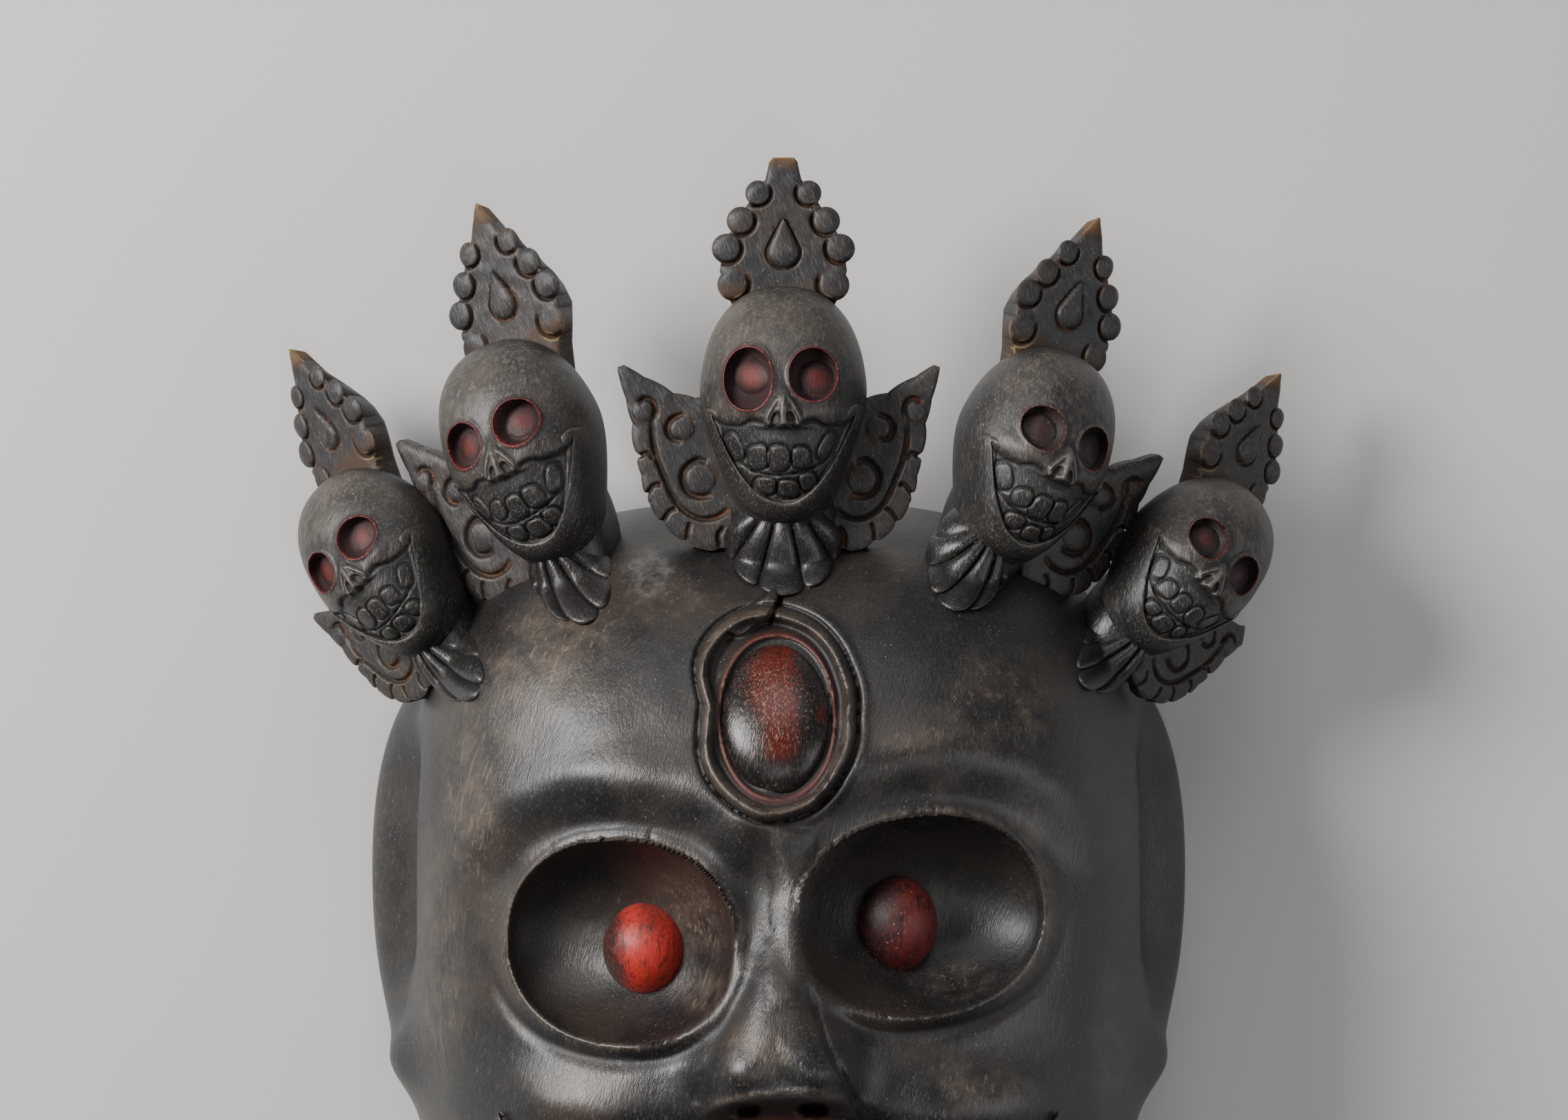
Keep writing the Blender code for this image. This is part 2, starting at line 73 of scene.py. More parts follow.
# Their plates: turn, lean and nod; width and height as shares of the skull's; shift in x
PLATES = (
    ((-50, 30, 9), (0.92, 1.12), -1),
    ((-32, 16, 5), (1.00, 1.04), 3),
    ((0, 0, 0), (1.00, 1.00), 0),
    ((32, -18, 6), (1.00, 1.05), 0),
    ((48, -29, 8), (1.02, 1.02), 5),
)
# Wings: the skull that carries it, its side, its turn, lean and nod, its width and height
WINGS = (
    (0, -1, (-50, 38, 9), (1.00, 1.00)),
    (1, -1, (-30, 11, 5), (1.05, 1.05)),
    (2, -1, (0, 0, 0), (1.06, 1.00)),
    (2, 1, (0, 0, 0), (1.00, 1.00)),
    (3, 1, (31, -13.5, 6), (1.12, 1.00)),
    (4, 1, (48, -44, 8), (1.00, 1.00)),
)
MIDDLE_SKULL, BROKEN_WING = 2, 4
# Collars: half width, and shift to the side
COLLARS = ((11.0, -4.0), (12.5, -2.5), (17.0, 0.0), (13.5, -4.5), (11.5, 3.0))

# Fineness of the carved skins, and the triangles that are kept of each
FACE_RINGS, HOLLOW_RINGS, BALL_RINGS = 300, 100, 60
SKULL_RINGS, COLLAR_RINGS, STEM_RINGS, PLATE_RINGS, WING_RINGS = 120, 70, 30, 100, 90
FACE_TRIANGLES = 190000
SKULL_TRIANGLES, COLLAR_TRIANGLES, STEM_TRIANGLES = 60000, 16000, 2500
PLATE_TRIANGLES, WING_TRIANGLES, BALL_TRIANGLES = 30000, 26000, 9000


# Shaping helpers

def ease(low, high, value):
    """0 below low, 1 above high, and a smooth rise between."""
    t = np.clip((value - low) / (high - low), 0, 1)
    return t * t * (3 - 2 * t)


def bump(distance, width):
    return np.exp(-((distance / width) ** 2))


def mound(x, y, middle, half):
    """1 at the middle, falling away over the half sizes."""
    return bump(np.hypot((x - middle[0]) / half[0], (y - middle[1]) / half[1]), 1)


def oval(x, y, middle, half, slant=0, square=2.2):
    """Share of the way from an oval's middle to its edge."""
    turn = math.radians(slant)
    u = (x - middle[0]) * math.cos(turn) + (y - middle[1]) * math.sin(turn)
    v = (y - middle[1]) * math.cos(turn) - (x - middle[0]) * math.sin(turn)
    return (np.abs(u / half[0]) ** square + np.abs(v / half[1]) ** square) ** (1 / square)


def curve_through(points, fine=7):
    """A smooth line through the points."""
    p = np.array(points, float)
    ends = np.concatenate([[2 * p[0] - p[1]], p, [2 * p[-1] - p[-2]]])
    t = np.linspace(0, 1, fine, endpoint=False)[:, None]
    parts = []
    for a, b, c, d in zip(ends, ends[1:], ends[2:], ends[3:]):
        bend = -a + 3 * b - 3 * c + d
        parts.append(0.5 * (2 * b + (c - a) * t + (2 * a - 5 * b + 4 * c - d) * t**2 + bend * t**3))
    return np.concatenate(parts + [p[-1:]])


def off_path(x, y, points, margin=5.0):
    """Distance from a smooth line, and the share of the way along it."""
    line = curve_through(points)
    low, high = line.min(axis=0) - margin, line.max(axis=0) + margin
    near = (x > low[0]) & (x < high[0]) & (y > low[1]) & (y < high[1])
    away = np.full(x.shape, 4 * margin)
    share = np.zeros(x.shape)
    px, py = x[near], y[near]
    best, best_share = away[near], share[near]
    for number, (a, b) in enumerate(zip(line, line[1:])):
        run = b - a
        t = np.clip(((px - a[0]) * run[0] + (py - a[1]) * run[1]) / (run @ run), 0, 1)
        reach = np.hypot(px - a[0] - t * run[0], py - a[1] - t * run[1])
        closer = reach < best
        best = np.where(closer, reach, best)
        best_share = np.where(closer, (number + t) / (len(line) - 1), best_share)
    away[near], share[near] = best, best_share
    return away, share


def incised(x, y, points, width, depth):
    """A carved line that runs out at both ends."""
    away, share = off_path(x, y, points)
    fade = np.clip(np.minimum(share, 1 - share) * 6, 0, 1) ** 0.5
    return -depth * fade * bump(away, width)


def waver(x, y, size, seed):
    """The slight unevenness of a hand-cut surface, about -1 to 1."""
    draw = np.random.default_rng(seed)
    form = np.zeros_like(x)
    for _ in range(7):
        turn, stretch, phase = draw.uniform(0, 6.28, 3)
        wave = size * (0.6 + 0.13 * stretch)
        form += np.sin((x * math.cos(turn) + y * math.sin(turn)) * 6.28 / wave + phase)
    return form / 4


# Skins: two carved discs joined along their edges

def disc(rings):
    """A square grid bent into a disc: share of the radius, angle, faces, edge in order."""
    line = np.arange(-rings, rings + 1) / rings
    u, v = np.meshgrid(line, line, indexing="ij")
    wide = np.abs(u) >= np.abs(v)
    lead = np.where(wide, u, v)
    safe = np.where(lead == 0, 1, lead)
    flat = math.pi / 4 * v / safe + math.pi * (u < 0)
    steep = math.pi / 2 - math.pi / 4 * u / safe + math.pi * (v < 0)
    angle = np.where(wide, flat, steep)
    side = 2 * rings + 1
    number = np.arange(side * side).reshape(side, side)
    corners = (number[:-1, :-1], number[1:, :-1], number[1:, 1:], number[:-1, 1:])
    faces = np.stack([c.ravel() for c in corners], axis=1)
    edge = [number[-1, rings:], number[-2::-1, -1], number[0, -2::-1]]
    edge += [number[1:, 0], number[-1, 1:rings]]
    return np.abs(lead).ravel(), angle.ravel(), faces, np.concatenate(edge)


def bend_of(points, rings, reach, outward):
    """How sharply the skin turns: above 0 in hollows, below 0 on edges."""
    side = 2 * rings + 1
    grid = points.reshape(side, side, 3)
    normal = np.cross(np.gradient(grid, axis=0), np.gradient(grid, axis=1))
    normal /= np.maximum(np.linalg.norm(normal, axis=2, keepdims=True), 1e-9)
    wide = np.pad(grid, ((reach, reach), (reach, reach), (0, 0)), mode="edge")
    lift, spread = np.zeros((side, side)), np.zeros((side, side))
    for a, b in ((0, reach), (2 * reach, reach), (reach, 0), (reach, 2 * reach)):
        step = wide[a:a + side, b:b + side] - grid
        lift += (step * normal).sum(axis=2)
        spread += (step**2).sum(axis=2)
    return (outward * lift / np.maximum(spread, 1e-6)).ravel()


COATS = ("paint", "shade", "rub", "bloom")


def coats(x, paint=0.0, shade=0.0, rub=0.0, bloom=0.0):
    """How much paint, darkening (painted shade in some places, dark stain in others), rubbed wood and pale
    bloom each point carries.
    """
    return np.stack([np.zeros_like(x) + value for value in (paint, shade, rub, bloom)], axis=1)


def skin(rings, front, back, back_rings=None, welded=False):
    """Points, faces and marks of a closed form; front and back give points and their coats."""
    back_rings = back_rings or rings
    share, angle, faces, edge = disc(rings)
    top, top_coats = front(share, angle)
    share, angle, back_faces, back_edge = disc(back_rings)
    under, under_coats = back(share, angle)
    count = len(top)
    marks = dict(zip(COATS, np.concatenate([top_coats, under_coats]).T))
    for name, reach in (("turn", 1), ("nook", 5)):
        parts = bend_of(top, rings, reach, 1), bend_of(under, back_rings, reach, -1)
        marks[name] = np.concatenate(parts)
    loops = faces.tolist()
    if welded:
        seat = np.arange(count, count + len(under))
        seat[back_edge] = edge
        loops += seat[back_faces][:, ::-1].tolist()
        return np.concatenate([top, under]), loops, marks
    loops += (back_faces[:, ::-1] + count).tolist()
    step = rings // back_rings
    for number in range(len(back_edge)):
        after = (number + 1) % len(back_edge)
        run = [edge[(number * step + k) % len(edge)] for k in range(step + 1)]
        loops.append([back_edge[number] + count, back_edge[after] + count] + run[::-1])
    return np.concatenate([top, under]), loops, marks


def carve(name, form, triangles, material, place=None, rooted=False):
    """The form as a finished piece, with most of its triangles where the carving turns. A
    rooted form ends inside the head's wall."""
    points, loops, marks = form
    if place is not None:
        points = points @ place[:3, :3].T + place[:3, 3]
        if np.linalg.det(place[:3, :3]) < 0:
            loops = [loop[::-1] for loop in loops]
    if rooted:
        points[:, 2] = np.maximum(points[:, 2], dome_height(points[:, 0], points[:, 1], WALL / 2))
    points = points * MM + np.array(LAYOUT)
    points[:, 2] = np.maximum(points[:, 2], 0)
    mesh = bpy.data.meshes.new(name)
    mesh.from_pydata(points.tolist(), [], loops)
    for mark, values in marks.items():
        mesh.attributes.new(mark, "FLOAT", "POINT").data.foreach_set("value", values.astype(np.float32))
    rough = bpy.data.objects.new(name + "_rough", mesh)
    bpy.context.scene.collection.objects.link(rough)
    made = sum(len(loop) - 2 for loop in loops)
    fewer = rough.modifiers.new("fewer", "DECIMATE")
    fewer.ratio = min(1.0, triangles / made)
    fewer.use_collapse_triangulate = True
    view = bpy.context.evaluated_depsgraph_get()
    finished = bpy.data.meshes.new_from_object(rough.evaluated_get(view))
    bpy.data.objects.remove(rough, do_unlink=True)
    bpy.data.meshes.remove(mesh)
    finished.name = name
    finished.shade_smooth()
    finished.set_sharp_from_angle(angle=math.radians(75))
    finished.materials.clear()
    finished.materials.append(material)
    thing = bpy.data.objects.new(name, finished)
    bpy.context.scene.collection.objects.link(thing)
    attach(thing, "root")
    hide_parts("mask")
    return thing


# Face

def head_outline(angle):
    """Distance of the head's edge from its middle at each angle."""
    c, s = np.abs(np.cos(angle)), np.abs(np.sin(angle))
    dome = ((c / HALF_WIDTH) ** SQUARE_DOME + (s / TOP) ** SQUARE_DOME) ** (-1 / SQUARE_DOME)
    jaw = ((c / HALF_WIDTH) ** SQUARE_JAW + (s / CHIN) ** SQUARE_JAW) ** (-1 / SQUARE_JAW)
    return np.where(np.sin(angle) >= 0, dome, jaw)


def head_base(share, angle, inset=0.0):
    """The head before it is carved; inset draws it inwards for the hollow."""
    turn = np.clip(share / EDGE_AT, 0, 1) * math.pi / 2
    below = np.clip((share - EDGE_AT) / (1 - EDGE_AT), 0, 1)
    reach = np.sin(turn) ** (2 / SQUARE_DEPTH) - BACK_TUCK * below**2
    radius = head_outline(angle) - inset
    lift = WIDEST + (FRONT - inset) * np.cos(turn) ** (2 / SQUARE_DEPTH)
    z = np.where(share > EDGE_AT, WIDEST * (1 - below), lift)
    return radius * reach * np.cos(angle), radius * reach * np.sin(angle), z


def dome_height(x, y, inset=0.0):
    """Height of the uncarved head over a point, and 0 outside it."""
    reach = np.hypot(x, y) / (head_outline(np.arctan2(y, x)) - inset)
    turn = np.arcsin(np.clip(reach, 0, 1) ** (SQUARE_DEPTH / 2))
    return (WIDEST + (FRONT - inset) * np.cos(turn) ** (2 / SQUARE_DEPTH)) * (reach < 1)


# Eye sockets: rise of the rim, fall of the slope and rise of the brow above, groove below
SOCKET_LIP, SOCKET_SLOPE, SOCKET_BROW, SOCKET_GROOVE = 1.6, 3.6, 1.8, 1.2


def socket(x, y, eye):
    """A bowl with a thin rolled rim; the forehead slopes down to it from above."""
    middle, half, slant, _, _ = eye
    rho = oval(x, y, middle, half, slant)
    around = np.abs(np.degrees(np.arctan2(y - middle[1], x - middle[0])))
    soft = ease(95, 150, around) * (middle[0] > 0)
    bowl = -EYE_DEPTH * np.clip(1 - (rho / 0.985) ** 2.6, 0, 1) ** (0.86 + 0.4 * soft)
    lip = SOCKET_LIP * np.where(rho > 1, bump(rho - 1, 0.1), ease(0.93, 1, rho)) * (1 - 0.7 * soft)
    above = ease(-0.1, 0.7, (y - middle[1]) / half[1])
    slope = -SOCKET_SLOPE * above * np.where(rho > 1, bump(rho - 1, 0.34), 0)
    swell = SOCKET_BROW * above * bump(rho - 1.62, 0.26)
    below = ease(0.2, -0.6, (y - middle[1]) / half[1])
    return bowl + lip + slope + swell - SOCKET_GROOVE * below * bump(rho - 1.14, 0.08)


def sockets(x, y, soft):
    """The eye bowls, spread for the hollow behind."""
    cut = np.zeros_like(x)
    for middle, half, slant, _, _ in EYES:
        rho = oval(x, y, middle, (half[0] * soft, half[1] * soft), slant)
        cut -= EYE_DEPTH * np.clip(1 - rho**2.4, 0, 1) ** 1.2
    return cut


# Nose: the lines of its bridge and sides, its swell, the wings and the nostrils
BRIDGE_VALLEY = ((-5.5, 24), (-6.4, 8), (-6.6, -6), (-7.2, -18))
BRIDGE_RIDGE = ((4.4, 22), (2.9, 8), (2.6, -6), (3.4, -18), (5.6, -27))
NOSE_LEFT = ((-6.3, -16.5), (-10.5, -24), (-13.9, -31), (-17.8, -40), (-21.6, -50.4), (-23, -56))
NOSE_RIGHT = ((8.2, -21.3), (11.2, -30.2), (13.9, -38.7), (17.2, -45), (21.9, -56), (23.5, -60))
NOSE_CREASE = ((-0.7, -34.5), (-1.0, -37.5), (-0.9, -40.5))
NOSE_RISE, NOSE_HALF, NOSE_SPREAD = 19, 9, 11
NOSTRIL_WING, NOSTRIL_WING_RISE, NOSTRIL_WING_SIZE = (14.5, -46), 5.0, 8.5
NOSTRILS, NOSTRIL_HALF, NOSTRIL_DEEP = ((-9.4, -57.0), (9.6, -57.0)), (4.7, 2.5), 7


def above_nose_edge(x, y):
    """How far a point is above the nose's lower edge."""
    return y + 52.0 + 0.008 * x**2 - 0.05 * x


def nose(x, y):
    """A nose that widens to its lower edge, with wings, nostrils and the lines of its bridge."""
    above = above_nose_edge(x, y)
    rise = NOSE_RISE * ease(6, -44, y) * ease(-6.5, 0, above)
    half = NOSE_HALF + NOSE_SPREAD * ease(-8, -50, y)
    form = rise * np.exp(-np.abs(x / half) ** 3.0)
    form += 0.9 * bump(above - 0.9, 0.8) * np.exp(-np.abs(x / half) ** 4.0)
    for side in (-1, 1):
        away = np.hypot(x - side * NOSTRIL_WING[0], (y - NOSTRIL_WING[1]) * 1.1)
        form += NOSTRIL_WING_RISE * bump(away, NOSTRIL_WING_SIZE) * ease(-6.5, 0, above)
    for middle in NOSTRILS:
        form -= NOSTRIL_DEEP * ease(1.15, 0.6, oval(x, y, middle, NOSTRIL_HALF))
    form += incised(x, y, NOSE_RIGHT, 0.8, 2.2) + incised(x, y, NOSE_LEFT, 1.9, 1.3)
    form += incised(x, y, BRIDGE_VALLEY, 4.4, 1.5) - incised(x, y, BRIDGE_RIDGE, 6.0, 1.9)
    return form + incised(x, y, NOSE_CREASE, 0.3, 0.35)


# Rows of teeth: spacing, height of the row, its bend, half sizes and rise of a tooth
TEETH_IN_ROW = 6
TOOTH_ROWS = ((14, -94.5, 0.0035, (6.4, 11), 3.2), (12.6, -117.5, 0.0040, (5.8, 9.5), 3.0))
FANG, FANG_HALF, FANG_SLANT, FANG_RISE = (52, -96), (6.5, 14), 15, 4.2
# Mouth: half width, heights of its upper and lower edges in the middle, and where its rows part
MOUTH_HALF, MOUTH_TOP, MOUTH_FOOT, MOUTH_PARTS = 72, -67, -134, 106.3
MOUTH_DEEP, LOWER_LIP_RISE = 4.5, 3.5


def mouth_edges(x):
    """Heights of the mouth's upper and lower edges."""
    reach = np.clip(np.abs(x) / MOUTH_HALF, 0, 1.4)
    upper = MOUTH_TOP - 13 * np.sin(np.clip(reach, 0, 1) * math.pi) ** 1.2 - 6 * reach**2
    lower = MOUTH_FOOT + 60 * reach**2.2
    return upper, lower


def tooth(x, y, middle, half, slant, rise, cut):
    """A swelling tooth inside its carved outline."""
    rho = oval(x, y, middle, half, slant, 3.4)
    width = 0.5 / min(half)
    swell = rise * np.sqrt(np.clip(1 - rho**3, 0, 1))
    return swell - cut * bump(rho - 1.04, max(width, 0.05))


def mouth(x, y):
    """Two rows of teeth with a fang at each end, between the lips."""
    upper, lower = mouth_edges(x)
    inside = ease(0, 3, upper - y) * ease(0, 3, y - lower)
    form = -MOUTH_DEEP * inside
    for number in range(TEETH_IN_ROW):
        for spacing, level, bend, half, rise in TOOTH_ROWS:
            at = (number - (TEETH_IN_ROW - 1) / 2) * spacing
            form += inside * tooth(x, y, (at, level + bend * at**2), half, 0, rise, 2.2)
    for side in (-1, 1):
        middle = (side * FANG[0], FANG[1])
        form += inside * tooth(x, y, middle, FANG_HALF, side * FANG_SLANT, FANG_RISE, 2.4)
    line = np.abs(y + MOUTH_PARTS - 0.0037 * x**2)
    form -= inside * 2.6 * bump(line, 1.0) * ease(66, 56, np.abs(x))
    lip = LOWER_LIP_RISE * bump(y - lower + 5, 6) * (np.abs(x) < 80) * ease(0, 2, lower - y)
    return form + lip


# Radius of the third eye's raised rim, in millimetres, at each angle in degrees
RIM_REACH = (
    (0, 19.9), (35, 22.3), (67, 26.6), (90, 28.6), (107, 29.4), (122, 28.6), (137, 27.0),
    (150, 24.4), (160, 21.3), (171, 18.9), (188, 19.5), (215, 23.0), (237, 24.9), (262, 27.1),
    (292, 25.3), (320, 21.8),
)
# Heights of the raised rim, the ring inside it and the flame tip; half width of the rim
RIM_RISE, RING_RISE, FLAME_RISE, RIM_HALF = 3.2, 1.3, 3.0, 1.75
# The flame tip and the crease beside it, from the third eye's middle
FLAME = ((-11.0, 26.0), (-6.9, 28.6), (-3.6, 31.2), (-1.2, 34.4), (-0.5, 38.0))
FLAME_CREASE = ((1.3, 36.0), (0.6, 32.5), (-0.9, 29.4), (-2.3, 25.6))


def rim_of_third_eye(x, y):
    """Distance outwards from the crest of the raised rim, and the angle around it."""
    u, v = x - THIRD_EYE[0][0], y - THIRD_EYE[0][1]
    angle = np.degrees(np.arctan2(v, u))
    turn, reach = np.array(RIM_REACH).T
    fine = np.arange(0, 360, 3.0)
    coarse = np.interp(fine, turn, reach, period=360)
    spread = (np.roll(coarse, 1) + 2 * coarse + np.roll(coarse, -1)) / 4
    return np.hypot(u, v) - np.interp(angle % 360, fine, spread, period=360), angle


def third_eye(x, y):
    """Raised rim with its notch and flame tip, and the ring inside it around the ball."""
    middle, half = THIRD_EYE
    off, angle = rim_of_third_eye(x, y)
    rho = oval(x, y, middle, half, 0, 2.1)
    form = RIM_RISE * np.exp(-np.abs(off / RIM_HALF) ** 2.4)
    form -= 1.5 * bump(off - 2.9, 0.75)
    right = ease(-100, -40, angle) * ease(88, 60, angle)
    form += 0.7 * right * bump(off - 4.8, 1.3)
    form -= 2.0 * ease(0, -1.2, off) * ease(-7.0, -3.0, off)
    form += RING_RISE * bump(rho - 1.01, 0.05) - 1.2 * ease(1.0, 0.94, rho)
    u, v = x - middle[0], y - middle[1]
    away, share = off_path(u, v, FLAME)
    form += FLAME_RISE * ease(1, 0.55, away / (4.0 - 3.0 * share**1.5))
    return form + incised(u, v, FLAME_CREASE, 0.55, 2.6)


# Swells and dips on both cheeks and the jaw: middle, half sizes, rise; and the chin's own
CHEEK_FORMS = (
    ((60, -60), (30, 15), 9), ((84, -100), (14, 30), -5), ((66, -140), (26, 22), 3),
)
CHIN_FORM = ((0, -156), (26, 14), 7)
# Small saw cuts across the socket rims
RIM_CUT_HALF, RIM_CUT_DEEP = (0.35, 2.2), 0.9
RIM_CUTS = (
    (-64.2, 13.4), (-54.4, 17.2), (-36.2, 18.8), (-51.0, -38.2), (39.0, 25.4), (41.2, 25.6),
    (44.0, 25.6), (46.5, 25.2), (50.8, 24.2),
)
# Places rubbed back to brown wood, darkened (partly painted shade, partly dark stain) or bloomed: middle,
# half sizes, slant, strength
RUBBED_PLACES = (
    ((-5, -40), (11, 9), 10, 1.0), ((-52, -50), (15, 9), 0, 0.55), ((39, 47.6), (10, 3.6), 8, 0.9),
    ((-25, -3), (9, 15), 25, 1.0), ((-23, -24), (9, 7), 0, 0.8), ((-66, 72), (24, 16), 40, 0.85),
    ((62, 56), (20, 18), -30, 0.6), ((58, -52), (17, 8), -12, 0.8), ((70, 22), (10, 8), -50, 0.7),
    ((-88, 30), (10, 30), 0, 0.8), ((-34, 88), (14, 8), -20, 0.5), ((50, -22), (12, 6), 10, 0.6),
    ((-98, -20), (9, 40), 0, 0.6), ((97, -40), (8, 30), 0, 0.5), ((-76, 50), (10, 16), 0, 0.7),
)
# Darkened places: partly painted shade (the face's right side, the valley left of the nose bridge, the left
# socket's wall), partly dark stain
SHADE_AND_STAIN_PLACES = (
    ((34, 66), (18, 14), 20, 0.9), ((-6, -22), (6, 14), 0, 0.7), ((88, 20), (14, 40), 0, 0.5),
    ((-68, -12), (10, 16), 0, 0.5), ((16, 36), (12, 6), 20, 0.5), ((-30, -44), (8, 12), -20, 0.4),
    ((-72, 32), (9, 12), 20, 0.9), ((-106, 50), (9, 36), 0, 0.7), ((58, 92), (22, 12), -30, 0.7),
    ((2, 92), (22, 8), 0, 0.5), ((104, -10), (10, 50), 0, 0.6), ((-14, 12), (8, 10), 20, 0.8),
)
BLOOM_PLACES = (
    ((-37.5, 95), (10, 9), 20, 1.0), ((-30, 84), (7, 6), 0, 0.5), ((30, 46), (5, 3), 0, 0.6),
    ((-34, 108), (9, 5), 0, 0.5),
)


def face_carving(x, y):
    """Everything carved into the head, as a height above its smooth form."""
    form = nose(x, y) + mouth(x, y) + third_eye(x, y)
    for eye in EYES:
        form += socket(x, y, eye)
    for side in (-1, 1):
        for (across, up), half, rise in CHEEK_FORMS:
            form += rise * mound(x, y, (side * across, up), half)
    middle, half, rise = CHIN_FORM
    form += rise * mound(x, y, middle, half)
    for cut in RIM_CUTS:
        form -= RIM_CUT_DEEP * mound(x, y, cut, RIM_CUT_HALF)
    return form + 0.35 * waver(x, y, 46, 3) + 0.12 * waver(x, y, 13, 4)


def places(x, y, rows):
    """The strength of the strongest of several soft ovals at each point."""
    most = np.zeros_like(x)
    for middle, half, slant, strength in rows:
        most = np.maximum(most, strength * ease(1.25, 0.35, oval(x, y, middle, half, slant, 2)))
    return most


# Ears, seen from the side: middle and half length along the face; the lobe's place and half sizes
EAR_MIDDLE, EAR_HALF = 8, 55
EAR_LOBE, EAR_LOBE_HALF = (-49, 42), (11, 15)


def ears(y, z):
    """How far the ears and their lobes stand out of the sides."""
    along = np.sqrt(np.clip(1 - ((y - EAR_MIDDLE) / EAR_HALF) ** 2, 0, 1))
    back = ease(50, 28, z + 0.002 * (y - EAR_MIDDLE) ** 2)
    hollow = bump((z - 48) / 9, 1) * ease(52, 30, y) * ease(-30, -8, y)
    return along * back - 0.45 * hollow + 0.7 * mound(y, z, EAR_LOBE, EAR_LOBE_HALF)


def face_front(share, angle):
    """The carved face and its coats: painted gums, rubbed edges, pale places, and places darkened partly
    with painted shade and partly with dark stain.
    """
    x, y, z = head_base(share, angle)
    faces = ease(1.0, 0.9, np.hypot(x / HALF_WIDTH, y / np.where(y > 0, TOP, CHIN)))
    out = ears(y, z) * EAR_FLARE * ease(70, 100, np.abs(x)) * np.sign(x)
    z = z + face_carving(x, y) * np.where(share < EDGE_AT, np.maximum(faces, 0), 0)
    inside = share < EDGE_AT
    gum = ease(-6.0, -7.5, above_nose_edge(x, y)) * ease(30, 24, np.abs(x)) * (y > -70)
    ring = bump(oval(x, y, *THIRD_EYE, 0, 2.1) - 1.01, 0.055) * 0.75
    paint = np.maximum(gum, ring)
    rub = places(x, y, RUBBED_PLACES)
    off, _ = rim_of_third_eye(x, y)
    rub = np.maximum(rub, bump(off, 2.3))
    rub = np.maximum(rub, bump(above_nose_edge(x, y) - 0.7, 1.1) * ease(20, 16, np.abs(x)))
    left_rho, right_rho = (oval(x, y, *eye[:3]) for eye in EYES)
    rub = np.maximum(rub, 0.7 * bump(left_rho - 1.01, 0.035))
    middle = EYES[1][0]
    around = np.degrees(np.arctan2(y - middle[1], x - middle[0]))
    upper_right = ease(-60, 0, around) * ease(140, 100, around)
    rub = np.maximum(rub, 0.9 * bump(right_rho - 1.03, 0.045) * upper_right)
    # shade: painted shade on the right side, beside the nose and in the left socket, with some dark stain
    shade, bloom = places(x, y, SHADE_AND_STAIN_PLACES), places(x, y, BLOOM_PLACES)
    marks = coats(x, np.clip(paint, 0, 1), shade, rub, bloom) * inside[:, None]
    return np.stack([x + out, y, z], axis=1), marks


def face_hollow(share, angle):
    """The plain hollow behind, deeper behind the eyes and the mouth."""
    x, y, z = head_base(share, angle, WALL)
    spare = sockets(x, y, 1.25)
    upper, lower = mouth_edges(x)
    spare -= 8 * ease(-16, 12, upper - y) * ease(-16, 12, y - lower)
    spare += 0.7 * waver(x, y, 22, 5)
    return np.stack([x, y, z + spare * (share < EDGE_AT)], axis=1), coats(x, shade=0.3)


BALL_BACK = 0.6  # depth of a ball behind its widest line, as a share of its depth in front


def ball(middle, half, base, cover):
    """A closed dome over an oval at a point; base gives the height that it stands on, and
    cover its coats at each place from -1 to 1 across and up."""

    def surface(way):
        def shape(share, angle):
            turn = share * math.pi / 2
            u, v = np.sin(turn) * np.cos(angle), np.sin(turn) * np.sin(angle)
            x, y = middle[0] + half[0] * u, middle[1] + half[1] * v
            z = base(x, y) + way * half[2] * np.cos(turn)
            return np.stack([x, y, z], axis=1), cover(u, v)

        return shape

    return skin(BALL_RINGS, surface(1), surface(-BALL_BACK), welded=True)


def left_cover(u, v):
    """Red paint all over, darkened at the left edge and in streaks near the top."""
    paint = 0.25 + 0.75 * ease(-0.85, -0.15, u + 0.1 * v)
    streaks = ease(0.1, 0.6, v) * bump(u - 0.15, 0.35)
    return coats(u, paint, 0.7 * streaks + 0.5 * ease(-0.4, -0.8, u))


def right_cover(u, v):
    """Duller paint that thins and darkens to the left, with an even bloom."""
    paint = 0.35 + 0.5 * ease(-0.5, 0.5, u - 0.2 * v)
    return coats(u, paint, 0.7 * ease(0.0, -0.7, u), 0, 0.5)


def third_cover(u, v):
    """A broad red streak down the middle, a weaker one at the upper left, a fleck at the right."""
    red = bump(u - 0.08, 0.42) * ease(-0.75, -0.3, v)
    red = red + 0.55 * bump(u + 0.3, 0.5) * ease(-0.1, 0.4, v) * ease(0.95, 0.7, v)
    fleck = mound(u, v, (0.86, 0.1), (0.1, 0.16))
    rub = bump(u + 0.12, 0.42) * ease(-0.7, -0.1, v) * ease(0.9, 0.5, v)
    return coats(u, np.clip(red + fleck, 0, 1), 0, rub)


# Small skulls

# Cranium: half width and height, depth in front and behind, and how much the jaw narrows
SKULL_WIDE, SKULL_TALL, SKULL_DEEP, SKULL_BACK, JAW_TAPER = 24.3, 35.5, 24.0, 31.0, 0.21
# Sockets: middle, half sizes, middle of the ball; then how deep they are, and the ball's radius
MIDDLE_EYES = (((-10.1, 8.2), (6.8, 8.9), (-9.0, 9.0)), ((8.5, 9.4), (6.9, 7.5), (9.4, 8.3)))
SIDE_EYES = (((-9.8, 8.0), (6.5, 6.7), (-9.4, 7.6)), ((8.8, 8.4), (6.5, 6.7), (9.2, 8.0)))
SMALL_EYE_DEEP, SMALL_BALL = 6.6, 5.2
